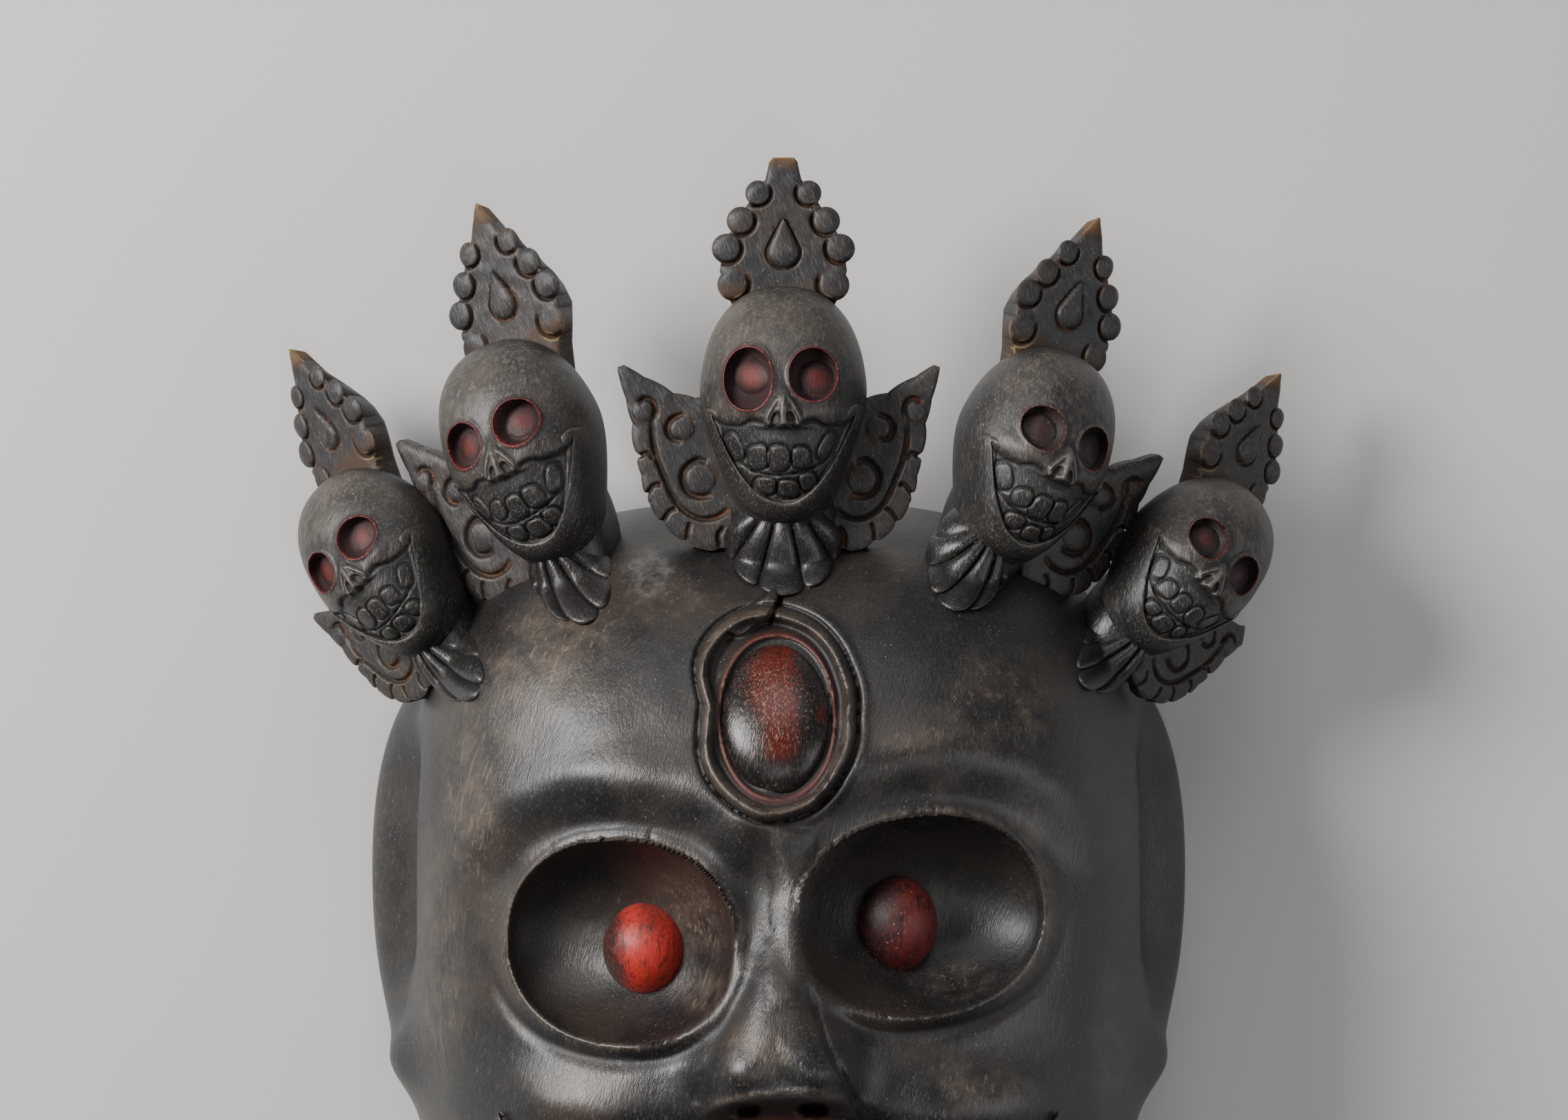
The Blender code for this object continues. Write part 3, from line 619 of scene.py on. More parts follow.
# Rolled lip, from ear to ear under the grin: its line, half width and rise
LIP_HALF, LIP_RISE = 2.7, 1.8
LIP = (
    (-21.6, -2.6), (-20.2, -6.6), (-18.6, -11.4), (-16.6, -16.4), (-13.2, -21.6), (-8.4, -26.8),
    (-1.0, -29.6), (5.4, -28.6), (11.2, -23.9), (15.5, -16.8), (18.5, -10.0), (20.3, -5.2), (21.0, -1.6),
)
CHEEK_EDGE = (
    (4.4, -4.8), (6.0, -4.0), (9.0, -3.5), (12.4, -4.9), (16.4, -4.5), (19.0, -3.2), (21.6, -0.6),
)
MOUTH_LINE = (
    (-13.4, -14.8), (-9.2, -17.6), (-5.6, -18.8), (-1.4, -19.2), (3.4, -18.6), (8.6, -17.0),
    (12.2, -14.4),
)
NOSE_SIDE = ((1.0, 3.6), (3.0, 0.4), (4.8, -3.2), (4.2, -5.6))
# Teeth: middle, half sizes, slant, rise
SMALL_TEETH = (
    ((-7.4, -14.0), (3.1, 3.4), 6, 0.35), ((-0.9, -14.8), (3.2, 3.7), 0, 0.25),
    ((5.5, -14.2), (2.9, 3.4), -4, 0.35), ((12.2, -11.2), (2.0, 4.5), -24, 0.45),
    ((-13.9, -10.6), (2.1, 4.2), 24, 0.4), ((-5.5, -22.2), (3.1, 2.5), -6, 0.7),
    ((1.2, -22.8), (3.3, 2.7), 0, 0.8), ((7.4, -21.2), (2.5, 2.6), 12, 0.7),
)


def scored(x, y, middle, half, slant, rise):
    """A tooth that is hardly raised inside its thin scored outline."""
    rho = oval(x, y, middle, half, slant, 2.8)
    return rise * np.sqrt(np.clip(1 - rho**3, 0, 1)) - 0.7 * bump(rho - 1.0, 0.4 / min(half))


def skull_relief(x, y, number):
    """Sockets, nose, cheeks, scored grin and rolled lip of a small skull, and its coats."""
    _, _, _, rim, left_over = SKULLS[number]
    form = 3.0 * mound(x, y, (0, -15), (13, 12))
    paint = np.zeros_like(x)
    for middle, half, pupil in MIDDLE_EYES if number == MIDDLE_SKULL else SIDE_EYES:
        rho = oval(x, y, middle, half, 0, 2.1)
        form -= SMALL_EYE_DEEP * np.clip(1 - rho**2.6, 0, 1) ** 0.6
        form += 0.7 * np.where(rho > 1, bump(rho - 1, 0.14), ease(0.95, 1, rho))
        away = np.hypot(x - pupil[0], y - pupil[1]) / SMALL_BALL
        form += 3.4 * np.clip(1 - away**2, 0, 1) ** 0.7 * (rho < 1)
        glow = 0.45 * ease(1.02, 0.9, rho) + 0.55 * ease(1.0, 0.2, away) * (rho < 1)
        edge = bump((rho - 1.02) / rim, 1) * (1.25 - 0.25 * rho)
        paint = np.maximum(paint, np.maximum(glow * left_over, edge * left_over))
    ridge = ease(7, 2, y) * ease(-6.4, -5.0, y)
    form += 1.7 * ridge * bump((x - 0.1) / (1.2 + 0.35 * (7 - y)), 1) + 1.0 * ridge * bump(x / 1.1, 1)
    for side in (-1, 1):
        form += 1.9 * mound(x, y, (side * 13.0, -0.4), (8.6, 4.4))
        form -= 1.2 * ease(1.2, 0.6, oval(x, y, (side * 2.2, -3.4), (1.3, 2.3), side * 16))
        path = [(side * px, py) for px, py in NOSE_SIDE]
        form -= incised(x, y, path, 0.55, 0.7)
        path = [(side * px, py) for px, py in CHEEK_EDGE]
        form += incised(x, y, path, 0.7, 1.0)
    reach = np.clip(np.abs(x) / 20, 0, 1.3)
    lower = -27.0 + 23.0 * reach**2.2
    cheeks = np.interp(np.abs(x), *np.array(CHEEK_EDGE).T)
    inside = ease(0.4, -0.8, y - cheeks) * ease(0, 1.2, y - lower)
    form -= 1.2 * inside
    draw = np.random.default_rng(40 + number)
    for middle, half, slant, rise in SMALL_TEETH:
        at = np.array(middle) + draw.uniform(-0.45, 0.45, 2)
        grown = np.array(half) * draw.uniform(0.9, 1.1)
        form += scored(x, y, at, grown, slant + draw.uniform(-5, 5), rise) * inside
    form += incised(x, y, MOUTH_LINE, 0.42, 1.1)
    away, _ = off_path(x, y, LIP)
    form += LIP_RISE * np.clip(1 - (away / LIP_HALF) ** 2, 0, 1) ** 0.7
    shade = np.maximum(0.85 * inside, 0.6 * ease(-2, -9, y) * ease(6, 2, away))
    rub = 0.6 * ease(0, 22, y) + 0.9 * mound(x, y, (0, -1.5), (3.0, 5)) + 0.5 * bump(y + 1.5, 3.4)
    form += 0.10 * waver(x, y, 14, 8 + number)
    return form, coats(x, np.clip(paint, 0, 1), shade, np.clip(rub, 0, 1) * (1 - inside))


def small_skull(number):
    """A squarish round cranium that narrows to the jaw."""

    def outline(share, angle):
        turn = share * math.pi / 2
        full = 1 + 0.05 * np.sin(2 * angle) ** 2
        y = SKULL_TALL * np.sin(turn) * np.sin(angle) * full
        taper = 1 - JAW_TAPER * ease(8, -24, y)
        x = SKULL_WIDE * np.sin(turn) * np.cos(angle) * full * taper
        return x, y, np.cos(turn), taper

    def front(share, angle):
        x, y, dz, _ = outline(share, angle)
        relief, marks = skull_relief(x, y, number)
        fade = ease(0.02, 0.3, dz)
        z = dz * SKULL_DEEP * (1 - 0.1 * ease(0, -30, y)) + relief * fade
        return np.stack([x, y, z], axis=1), marks * fade[:, None]

    def back(share, angle):
        x, y, dz, taper = outline(share, angle)
        return np.stack([x, y, -SKULL_BACK * dz * taper], axis=1), coats(x)

    return skin(SKULL_RINGS, front, back, welded=True)


# Collars and stems

# Grooves between the petals, in degrees around a point at the height of PETAL_FAN on the skull
PETAL_CUTS = (-52, -33.5, -14, 11.5, 32.5, 52)
PETAL_FAN = -20.7
# Half sizes of a collar and of a stem, how far below the skull's middle they sit, and how far back
COLLAR_WIDE, COLLAR_TALL, COLLAR_DROP, COLLAR_SINK = 17, 18, 35, 6
COLLAR_DEEP, COLLAR_BACK = 14, 9
STEM_HALF, STEM_DROP, STEM_SINK = (14, 27, 16), 21, 9


def collar(place, wide, shift):
    """Rounded petals that fan out under a small skull's chin and lie on the dome."""

    def surface(way, deep):
        def shape(share, angle):
            turn = share * math.pi / 2
            dx, dy = np.sin(turn) * np.cos(angle), np.sin(turn) * np.sin(angle)
            dz = np.cos(turn)
            fan = np.degrees(np.arctan2(COLLAR_WIDE * dx, PETAL_FAN + COLLAR_DROP - COLLAR_TALL * dy))
            petal = np.clip(np.searchsorted(PETAL_CUTS, fan) - 1, 0, len(PETAL_CUTS) - 2)
            low, high = np.array(PETAL_CUTS)[petal], np.array(PETAL_CUTS)[petal + 1]
            across = np.clip((2 * fan - low - high) / (high - low), -1, 1)
            crown = np.clip(1 - np.abs(across) ** 2.4, 0, 1) ** 0.5
            fold = ease(0.45, 0.0, dy)
            flute = 1 + fold * (0.22 * (crown - 0.72) * dz + 0.10 * (crown - 0.6) * (1 - dz))
            x, y = shift + wide * dx * flute, COLLAR_TALL * dy * flute - COLLAR_DROP
            points = np.stack([x, y, way * deep * dz * flute - COLLAR_SINK], axis=1)
            points = points @ place[:3, :3].T + place[:3, 3]
            if way > 0:
                ground = dome_height(points[:, 0], points[:, 1])
                lift = (1.6 + 2.8 * crown * fold) * np.clip(1 - share**4, 0, 1) ** 0.6 - 1.0
                own, laid = points[:, 2], np.where(ground > 0, ground + lift, 0)
                points[:, 2] = (own + laid + np.sqrt((own - laid) ** 2 + 14 * (1 - share**4))) / 2
            return points, coats(dx, shade=0.3)

        return shape

    return skin(COLLAR_RINGS, surface(1, COLLAR_DEEP), surface(-1, COLLAR_BACK), welded=True)


def stem():
    """The wood behind a small skull, down into the dome."""

    def surface(way):
        def shape(share, angle):
            turn = share * math.pi / 2
            wide, tall, deep = STEM_HALF
            swell = np.sin(turn) ** 0.75
            z = np.cos(turn) ** 0.75 * way
            x, y = wide * swell * np.cos(angle), tall * swell * np.sin(angle)
            return np.stack([x, y - STEM_DROP, deep * z - STEM_SINK], axis=1), coats(x)

        return shape

    return skin(STEM_RINGS, surface(1), surface(-1), welded=True)


# Flame plates and wings

# The share of a slab's skin where its side walls start, and the share that its back is drawn in to
WALL_AT, SLAB_BACK = 0.84, 0.97


def slab(rings, radius, back_radius, middle, thick, relief, front_z):
    """A carved plate: a relief face cut to one outline, side walls and a smoother back edge."""

    def spot(reach, angle):
        return middle[0] + reach * np.cos(angle), middle[1] + reach * np.sin(angle)

    def front(share, angle):
        in_face = np.clip(share / WALL_AT, 0, 1)
        down = np.clip((share - WALL_AT) / (1 - WALL_AT), 0, 1)
        outer = radius(angle)
        edge = outer + down * (back_radius(angle) - outer)
        x, y = spot(edge * in_face, angle)
        form, marks = relief(x, y)
        z = front_z + form - 1.1 * in_face**14
        z = z - down * (z - front_z + thick(y) * 0.9)
        return np.stack([x, y, z], axis=1), marks

    def back(share, angle):
        x, y = spot(back_radius(angle) * share * SLAB_BACK, angle)
        return np.stack([x, y, front_z - thick(y)], axis=1), coats(x)

    return skin(rings, front, back)


# A flame plate is a leaf, with lobes along its sides, two kinds of tip and a drop on its face
LOBES = ((7.3, 62.5, 3.7), (12.3, 54.5, 4.1), (16.4, 46.5, 4.3), (14.5, 36.0, 4.6))
PLATE_MIDDLE = (0.0, 47.0)
LEAF = ((14, 11), (28, 14), (33, 16), (40, 18.4), (46, 17.6), (51, 15.6), (59, 10.6), (66.5, 5.2))
BLUNT_TIP = ((69.5, 4.5), (71.6, 4.1), (72.8, 3.0))
SHARP_TIP = ((70.0, 3.6), (76.0, 0.3))
BACK_SHARE = 0.94
DROP_TIP, DROP_FOOT, DROP_HALF = 55.2, 45.5, (4.5, 4.6)
PLATE_THICK, WING_THICK = 8.0, 6.0
PLATE_FRONT, WING_FRONT = -4.0, -2.0


def leaf_reach(tip, lobes):
    """How far the plate runs from its middle at each angle, read from a fine table."""
    turns = np.linspace(0, 2 * math.pi, 1441)
    reach = np.linspace(0, 34, 681)[:, None]
    x = PLATE_MIDDLE[0] + reach * np.cos(turns)
    y = PLATE_MIDDLE[1] + reach * np.sin(turns)
    heights, halves = np.array(LEAF + tip).T
    inside = (np.abs(x) < np.interp(y, heights, halves)) & (y > heights[0]) & (y < heights[-1])
    for lx, ly, lr in lobes:
        inside |= np.hypot(np.abs(x) - lx, y - ly) < lr
    table = np.max(np.where(inside, reach, 0), axis=0)
    return lambda angle: np.interp(angle % (2 * math.pi), turns, table)


def plate_relief(x, y):
    """Low curled discs with a crescent cut on their inner lower side, and a drop in the middle."""
    form = -0.3 * np.ones_like(x)
    for lx, ly, lr in LOBES:
        u, v = np.abs(x) - lx, y - ly
        away = np.hypot(u, v) / lr
        form += 0.4 * np.clip(1 - away**2, 0, 1)
        facing = np.cos(np.arctan2(v, u) - math.radians(225))
        form -= 1.8 * bump(away - 1.02, 0.13) * ease(0.0, 0.7, facing)
    half = DROP_HALF[0] * np.clip((DROP_TIP - y) / 9, 0.02, 1) ** 0.8
    drop = np.hypot(x / half, np.minimum(y - DROP_FOOT, 0) / DROP_HALF[1])
    drop = np.where(y > DROP_TIP, 2, drop)
    form += 1.6 * np.clip(1 - drop**3, 0, 1) ** 0.6 - 0.8 * bump(drop - 1.08, 0.1)
    ochre = 0.8 * ease(67, 73, y) + 0.32 * ease(42, 33, y)
    return form + 0.12 * waver(x, y, 8, 12), coats(x, ochre, 0.25 * ease(60, 40, y))


def plate(tip):
    """A flame plate: lobed in front, a plain leaf behind, thicker towards its root."""
    plain = leaf_reach(tip, ())

    def behind(angle):
        return BACK_SHARE * plain(angle)

    def thick(y):
        return PLATE_THICK * (1 + 0.5 * ease(70, 36, y))

    lobed = leaf_reach(tip, LOBES)
    return slab(PLATE_RINGS, lobed, behind, PLATE_MIDDLE, thick, plate_relief, PLATE_FRONT)


# A wing's outline from its tip round the outer edge, the angles of its notches, and its carving
WING_MIDDLE = (27.0, -14.0)
WING_TIP = ((38, 9.5), (43.4, 12.9), (45.2, 12.2), (44.6, 9))
BROKEN_TIP = ((37.4, 8.6), (39.6, 10.4), (43.6, 5.2), (43.3, 4.2))
WING_EDGE = (
    (42.8, 3), (41.0, -4), (39.8, -13), (38.6, -19), (36.4, -27), (31.6, -34.5), (25, -39.4),
    (17, -41), (10, -38), (8, -26), (12, -8), (18, 4), (24, 3.4), (30, 4.8),
)
WING_NOTCHES = (3, -46, -73, -92, -111)
S_GROOVE = (
    (35.6, -2.6), (35.5, -8.8), (34.5, -13.9), (32.6, -19), (30, -25.1), (26.9, -29.2),
    (22.3, -31.5), (17.7, -30.8), (14.6, -28.4),
)
TIP_CURL = ((39.6, 1.6), (37.8, 3.1), (35.6, 2.4), (34.7, 0.2), (35.1, -2.9))
UPPER_CURL = ((27.0, -1.2), (30.4, -2.8), (31.5, -5.6), (30.2, -8.4), (27.6, -9.2))
BIG_CURL = (
    (20.8, -15.2), (23.8, -14.6), (26.8, -17.2), (27.4, -20.6), (25.8, -24.0), (22.8, -25.2),
    (19.2, -24.6),
)
SCALLOPS = (
    ((35.2, -14.4), (37.0, -12.6), (39.4, -13.4)), ((33.0, -21.8), (35.2, -21.8), (37.4, -24.6)),
    ((29.0, -28.4), (31.0, -29.4), (33.2, -32.8)), ((25.3, -32.4), (26.0, -35.0), (26.2, -38.0)),
    ((15.8, -33.6), (17.6, -36.0), (17.2, -40.0)),
)
# Its carved lines: path, width, depth; and the round bosses inside its curls: middle and radius
WING_LINES = (
    (S_GROOVE, 0.75, 1.7), (TIP_CURL, 0.65, 1.4), (UPPER_CURL, 0.75, 1.5), (BIG_CURL, 0.8, 1.6),
    *((path, 0.6, 1.3) for path in SCALLOPS),
)
WING_BOSSES = ((27.6, -5.3, 3.4), (22.7, -20.1, 4.3), (38.1, -0.6, 3.0))


def wing_relief(x, y):
    form = np.zeros_like(x)
    for path, width, depth in WING_LINES:
        form += incised(x, y, path, width, depth)
    for cx, cy, cr in WING_BOSSES:
        away = np.hypot(x - cx, y - cy) / cr
        form += 0.7 * np.sqrt(np.clip(1 - away**2, 0, 1))
    return form + 0.12 * waver(x, y, 9, 14), coats(x)


def wing(tip):
    """A flat scroll behind the jaw, notched along its outer edge."""
    points = np.array(tip + WING_EDGE, float) - WING_MIDDLE
    turn = np.arctan2(points[:, 1], points[:, 0]) % (2 * math.pi)
    order = np.argsort(turn)
    far = np.hypot(*points.T)[order]

    def radius(angle):
        reach = np.interp(angle, turn[order], far, period=2 * math.pi)
        degrees = (np.degrees(angle) + 180) % 360 - 180
        for at in WING_NOTCHES:
            reach = reach - 1.1 * bump(degrees - at, 3.0)
        return reach

    def thick(y):
        return np.full_like(y, WING_THICK)

    return slab(WING_RINGS, radius, radius, WING_MIDDLE, thick, wing_relief, WING_FRONT)


# Materials

def put(tree, kind, sockets=None, **settings):
    """Adds a node; sockets maps names or numbers to values or to the outputs that feed them."""
    made = tree.nodes.new("ShaderNode" + kind)
    for name, value in settings.items():
        setattr(made, name, value)
    for key, value in (sockets or {}).items():
        if isinstance(value, bpy.types.NodeSocket):
            tree.links.new(value, made.inputs[key])
        else:
            made.inputs[key].default_value = value
    return made


def band(tree, value, low, high):
    """0 to 1 as the value goes from low to high."""
    sockets = {"Value": value, "From Min": low, "From Max": high}
    return put(tree, "MapRange", sockets, interpolation_type="SMOOTHSTEP").outputs[0]


def calc(tree, operation, a, b):
    return put(tree, "Math", {0: a, 1: b}, operation=operation).outputs[0]


def times(tree, a, b):
    return calc(tree, "MULTIPLY", a, b)


def plus(tree, a, b):
    return calc(tree, "ADD", a, b)


def minus(tree, a, b):
    return calc(tree, "SUBTRACT", a, b)


def blend(tree, share, a, b):
    """Colour a, turning to b as the share goes to 1."""
    made = put(tree, "Mix", {0: share, 6: a, 7: b}, data_type="RGBA")
    return made.outputs[2]


def laid(tree, colour, mask, strength, coat):
    """The colour with a coat over it, where the mask shows and as strong as is given."""
    return blend(tree, times(tree, mask, strength), colour, coat)


def rgb(r, g, b):
    return (r, g, b, 1.0)


def new_group(name, inputs, outputs):
    tree = bpy.data.node_groups.new(name, "ShaderNodeTree")
    for title, value in inputs.items():
        made = tree.interface.new_socket(title, in_out="INPUT", socket_type="NodeSocketFloat")
        made.default_value = value
    for title in outputs:
        tree.interface.new_socket(title, in_out="OUTPUT", socket_type="NodeSocketFloat")
    return tree, tree.nodes.new("NodeGroupInput"), tree.nodes.new("NodeGroupOutput")


def strokes_group():
    """Fine rubbed strokes along the grain: a mask, a coarser mask and their height."""
    tree, given, out = new_group(
        "rubbed_strokes", {"Size": 2600.0, "Slant": 0.2, "Cover": 0.55}, ("Fine", "Coarse", "Height"))
    spot = put(tree, "TexCoord").outputs["Object"]
    turned = put(tree, "VectorRotate", {"Vector": spot, "Angle": given.outputs["Slant"]},
                 rotation_type="Z_AXIS").outputs[0]
    drawn = put(tree, "Mapping", {"Vector": turned, "Scale": (1.0, 0.16, 1.0)}).outputs[0]
    fine = put(tree, "TexNoise", {"Vector": drawn, "Scale": given.outputs["Size"], "Detail": 3.0,
                                  "Roughness": 0.6}).outputs[0]
    wide = times(tree, given.outputs["Size"], 0.3)
    coarse = put(tree, "TexNoise", {"Vector": drawn, "Scale": wide, "Detail": 4.0,
                                    "Roughness": 0.65}).outputs[0]
    low = given.outputs["Cover"]
    tree.links.new(band(tree, fine, low, plus(tree, low, 0.16)), out.inputs["Fine"])
    tree.links.new(band(tree, coarse, low, plus(tree, low, 0.2)), out.inputs["Coarse"])
    tree.links.new(plus(tree, fine, coarse), out.inputs["Height"])
    return tree


def wear_and_shade_group():
    """Worn edges, dark grooves and broad nooks that take painted shade, read from the marks on the carving.
    """
    tree, given, out = new_group("wear_and_hollow_shade", {"Edge": 0.12, "Groove": 0.12, "Break": 0.5},
                                 ("Edges", "Grooves", "ShadedNooks", "Crowns"))
    turn = put(tree, "Attribute", attribute_name="turn").outputs["Fac"]
    nook = put(tree, "Attribute", attribute_name="nook").outputs["Fac"]
    spot = put(tree, "TexCoord").outputs["Object"]
    ragged = put(tree, "TexNoise", {"Vector": spot, "Scale": 420.0, "Detail": 4.0}).outputs[0]
    torn = times(tree, minus(tree, ragged, 0.5), given.outputs["Break"])
    bent = plus(tree, times(tree, turn, -1.0), times(tree, torn, 0.3))
    edges = band(tree, bent, times(tree, given.outputs["Edge"], 0.4), given.outputs["Edge"])
    grooves = band(tree, turn, 0.03, given.outputs["Groove"])
    tree.links.new(edges, out.inputs["Edges"])
    tree.links.new(grooves, out.inputs["Grooves"])
    tree.links.new(band(tree, nook, 0.004, 0.05), out.inputs["ShadedNooks"])
    tree.links.new(band(tree, times(tree, nook, -1.0), 0.002, 0.035), out.inputs["Crowns"])
    return tree


def dust_group():
    """Small pale specks and scuffs, and soft clouds of rubbed wood."""
    tree, given, out = new_group("dust", {"Specks": 0.16, "Clouds": 28.0}, ("Specks", "Clouds", "Blotches"))
    spot = put(tree, "TexCoord").outputs["Object"]
    grains = put(tree, "TexVoronoi", {"Vector": spot, "Scale": 520.0}, feature="F1")
    near = band(tree, grains.outputs["Distance"], given.outputs["Specks"], 0.04)
    some = put(tree, "TexNoise", {"Vector": spot, "Scale": 75.0, "Detail": 3.0}).outputs[0]
    specks = times(tree, near, band(tree, some, 0.5, 0.66))
    clouds = put(tree, "TexNoise", {"Vector": spot, "Scale": given.outputs["Clouds"], "Detail": 5.0,
                                    "Roughness": 0.6}).outputs[0]
    blotches = put(tree, "TexNoise", {"Vector": spot, "Scale": 130.0, "Detail": 5.0,
                                      "Roughness": 0.7}).outputs[0]
    tree.links.new(specks, out.inputs["Specks"])
    tree.links.new(clouds, out.inputs["Clouds"])
    tree.links.new(blotches, out.inputs["Blotches"])
    return tree


STROKES, WEAR_AND_SHADE, DUST = strokes_group(), wear_and_shade_group(), dust_group()
PALE_BLOOM, PALE_DUST, BALL_DUST = rgb(0.15, 0.15, 0.155), rgb(0.30, 0.28, 0.26), rgb(0.4, 0.36, 0.33)


def group(tree, which, **inputs):
    made = tree.nodes.new("ShaderNodeGroup")
    made.node_tree = which
    for key, value in inputs.items():
        made.inputs[key].default_value = value
    return made.outputs


def worn_coats(tree):
    """The four coats that the carving carries."""
    return [put(tree, "Attribute", attribute_name=coat).outputs["Fac"] for coat in COATS]


def wood_material(name, look):
    """Stained and rubbed wood, with painted shade in its broad hollows and the shade coat's darkening; look
    names its colours and how strongly each layer shows.
    """
    material = bpy.data.materials.new(name)
    material.use_nodes = True
    tree = material.node_tree
    shader = tree.nodes["Principled BSDF"]
    strokes = group(tree, STROKES, Size=look["stroke_size"], Slant=look["slant"], Cover=look["cover"])
    wear = group(tree, WEAR_AND_SHADE, Edge=look["edge"], Groove=look["groove"], Break=1.0)
    dust = group(tree, DUST, Specks=0.17, Clouds=look["clouds"])
    paint, shade, rubs, bloom = worn_coats(tree)
    scratches = group(tree, STROKES, Size=1500.0, Slant=-0.95, Cover=0.62)
    cloud = band(tree, dust["Clouds"], 0.42, 0.60)
    colour = blend(tree, cloud, look["dark"], look["brown"])
    rub = times(tree, strokes["Coarse"], band(tree, dust["Blotches"], 0.4, 0.7))
    colour = laid(tree, colour, rub, look["rub"], look["rubbed"])
    uncovered = band(tree, plus(tree, strokes["Coarse"], dust["Blotches"]), 0.28, 0.85)
    colour = laid(tree, colour, rubs, uncovered, look["rubbed"])
    # the shade coat: painted shade in some places, dark stain in others
    colour = laid(tree, colour, shade, 0.8, look["dark"])
    colour = laid(tree, colour, strokes["Fine"], look["fine"], look["stroke"])
    colour = laid(tree, colour, scratches["Fine"], 0.3, look["stroke"])
    crowns = times(tree, wear["Crowns"], look["crown"])
    colour = laid(tree, colour, crowns, strokes["Fine"], look["worn"])
    # painted shade: broad hollows darkened towards the nook colour
    colour = laid(tree, colour, wear["ShadedNooks"], 0.75, look["nook"])
    filled = times(tree, wear["Grooves"], band(tree, dust["Blotches"], look["fill_from"], 0.62))
    colour = laid(tree, colour, filled, look["deep"], look["cut"])
    worn = minus(tree, look["wear"], times(tree, shade, 0.28))
    colour = laid(tree, colour, wear["Edges"], worn, look["worn"])
    uneven = times(tree, minus(tree, dust["Blotches"], 0.5), 0.9)
    daub = band(tree, plus(tree, paint, uneven), 0.12, 0.42)
    daub = times(tree, daub, band(tree, paint, 0.03, 0.25))
    full = band(tree, plus(tree, paint, times(tree, uneven, 0.8)), 0.42, 1.0)
    painted = blend(tree, full, look["paint_dark"], look["paint"])
    painted = laid(tree, painted, wear["Edges"], 0.7, look["paint_worn"])
    colour = laid(tree, colour, daub, look["paint_cover"], painted)
    bloomed = band(tree, plus(tree, times(tree, bloom, 0.35), dust["Blotches"]), 0.7, 0.95)
    colour = laid(tree, colour, bloomed, 0.45, PALE_BLOOM)
    colour = laid(tree, colour, dust["Specks"], 0.6, PALE_DUST)
    tree.links.new(colour, shader.inputs["Base Color"])
    gloss = times(tree, strokes["Coarse"], 0.10)
    duller = ((wear["ShadedNooks"], 0.22), (dust["Blotches"], 0.16), (scratches["Coarse"], 0.14), (daub, 0.2))
    for mask, share in duller:
        gloss = plus(tree, gloss, times(tree, mask, share))
    tree.links.new(plus(tree, gloss, look["rough"]), shader.inputs["Roughness"])
    shader.inputs["Specular IOR Level"].default_value = look["shine"]
    bumps = put(tree, "Bump", {"Height": strokes["Height"], "Strength": look["grain"], "Distance": 0.00025})
    bumps = put(tree, "Bump", {"Height": dust["Blotches"], "Normal": bumps.outputs[0],
                               "Strength": 0.16, "Distance": 0.0006})
    tree.links.new(bumps.outputs[0], shader.inputs["Normal"])
    return material


# In the looks, nook is the colour of the painted shade laid in broad hollows
HEAD_LOOK = {
    "stroke_size": 2300.0, "slant": 0.25, "cover": 0.55, "clouds": 26.0, "edge": 0.34, "groove": 0.2,
    "dark": rgb(0.0088, 0.0088, 0.0097), "brown": rgb(0.031, 0.0235, 0.019),
    "rubbed": rgb(0.125, 0.095, 0.071), "rub": 0.5, "stroke": rgb(0.082, 0.073, 0.066), "fine": 0.5,
    "crown": 0.4, "worn": rgb(0.17, 0.14, 0.115), "wear": 0.22, "nook": rgb(0.008, 0.007, 0.007),
    "cut": rgb(0.006, 0.005, 0.005), "deep": 0.9, "fill_from": 0.2, "paint": rgb(0.11, 0.022, 0.016),
    "paint_dark": rgb(0.034, 0.010, 0.009), "paint_worn": rgb(0.13, 0.035, 0.022), "paint_cover": 0.85,
    "rough": 0.27, "shine": 0.6, "grain": 0.6,
}
PETAL_LOOK = dict(
    HEAD_LOOK, brown=rgb(0.020, 0.017, 0.016), wear=0.3, crown=0.25, rub=0.25, rough=0.24, shine=0.6)
SKULL_LOOK = dict(
    HEAD_LOOK, stroke_size=2200.0, slant=0.1, cover=0.52, clouds=45.0, dark=rgb(0.0155, 0.015, 0.0155),
    brown=rgb(0.035, 0.029, 0.025), rubbed=rgb(0.115, 0.096, 0.079), rub=0.3,
    stroke=rgb(0.105, 0.094, 0.084), fine=0.5, crown=0.4, worn=rgb(0.20, 0.17, 0.14), wear=0.34,
    paint=rgb(0.145, 0.015, 0.012), paint_dark=rgb(0.025, 0.007, 0.007),
    paint_worn=rgb(0.21, 0.045, 0.036), paint_cover=0.95, rough=0.33, shine=0.5)
# Its nook colour is the painted shade in the hollows between the lobes and curls
PLATE_LOOK = dict(
    HEAD_LOOK, stroke_size=2100.0, slant=-0.35, cover=0.52, clouds=60.0, dark=rgb(0.023, 0.023, 0.026),
    brown=rgb(0.036, 0.029, 0.025), rubbed=rgb(0.115, 0.10, 0.088), rub=0.35,
    stroke=rgb(0.10, 0.095, 0.093), fine=0.5, crown=0.3, worn=rgb(0.14, 0.10, 0.066), wear=0.28,
    nook=rgb(0.018, 0.012, 0.009), cut=rgb(0.15, 0.050, 0.014), deep=0.6, fill_from=0.45,
    paint=rgb(0.15, 0.080, 0.024), paint_dark=rgb(0.060, 0.030, 0.013),
    paint_worn=rgb(0.30, 0.20, 0.085), paint_cover=0.75, rough=0.38, shine=0.42)
WOOD = wood_material("stained_wood", HEAD_LOOK)
PETAL_WOOD = wood_material("dark_petals", PETAL_LOOK)
SKULL_WOOD = wood_material("rubbed_wood", SKULL_LOOK)
PLATE_WOOD = wood_material("flame_wood", PLATE_LOOK)


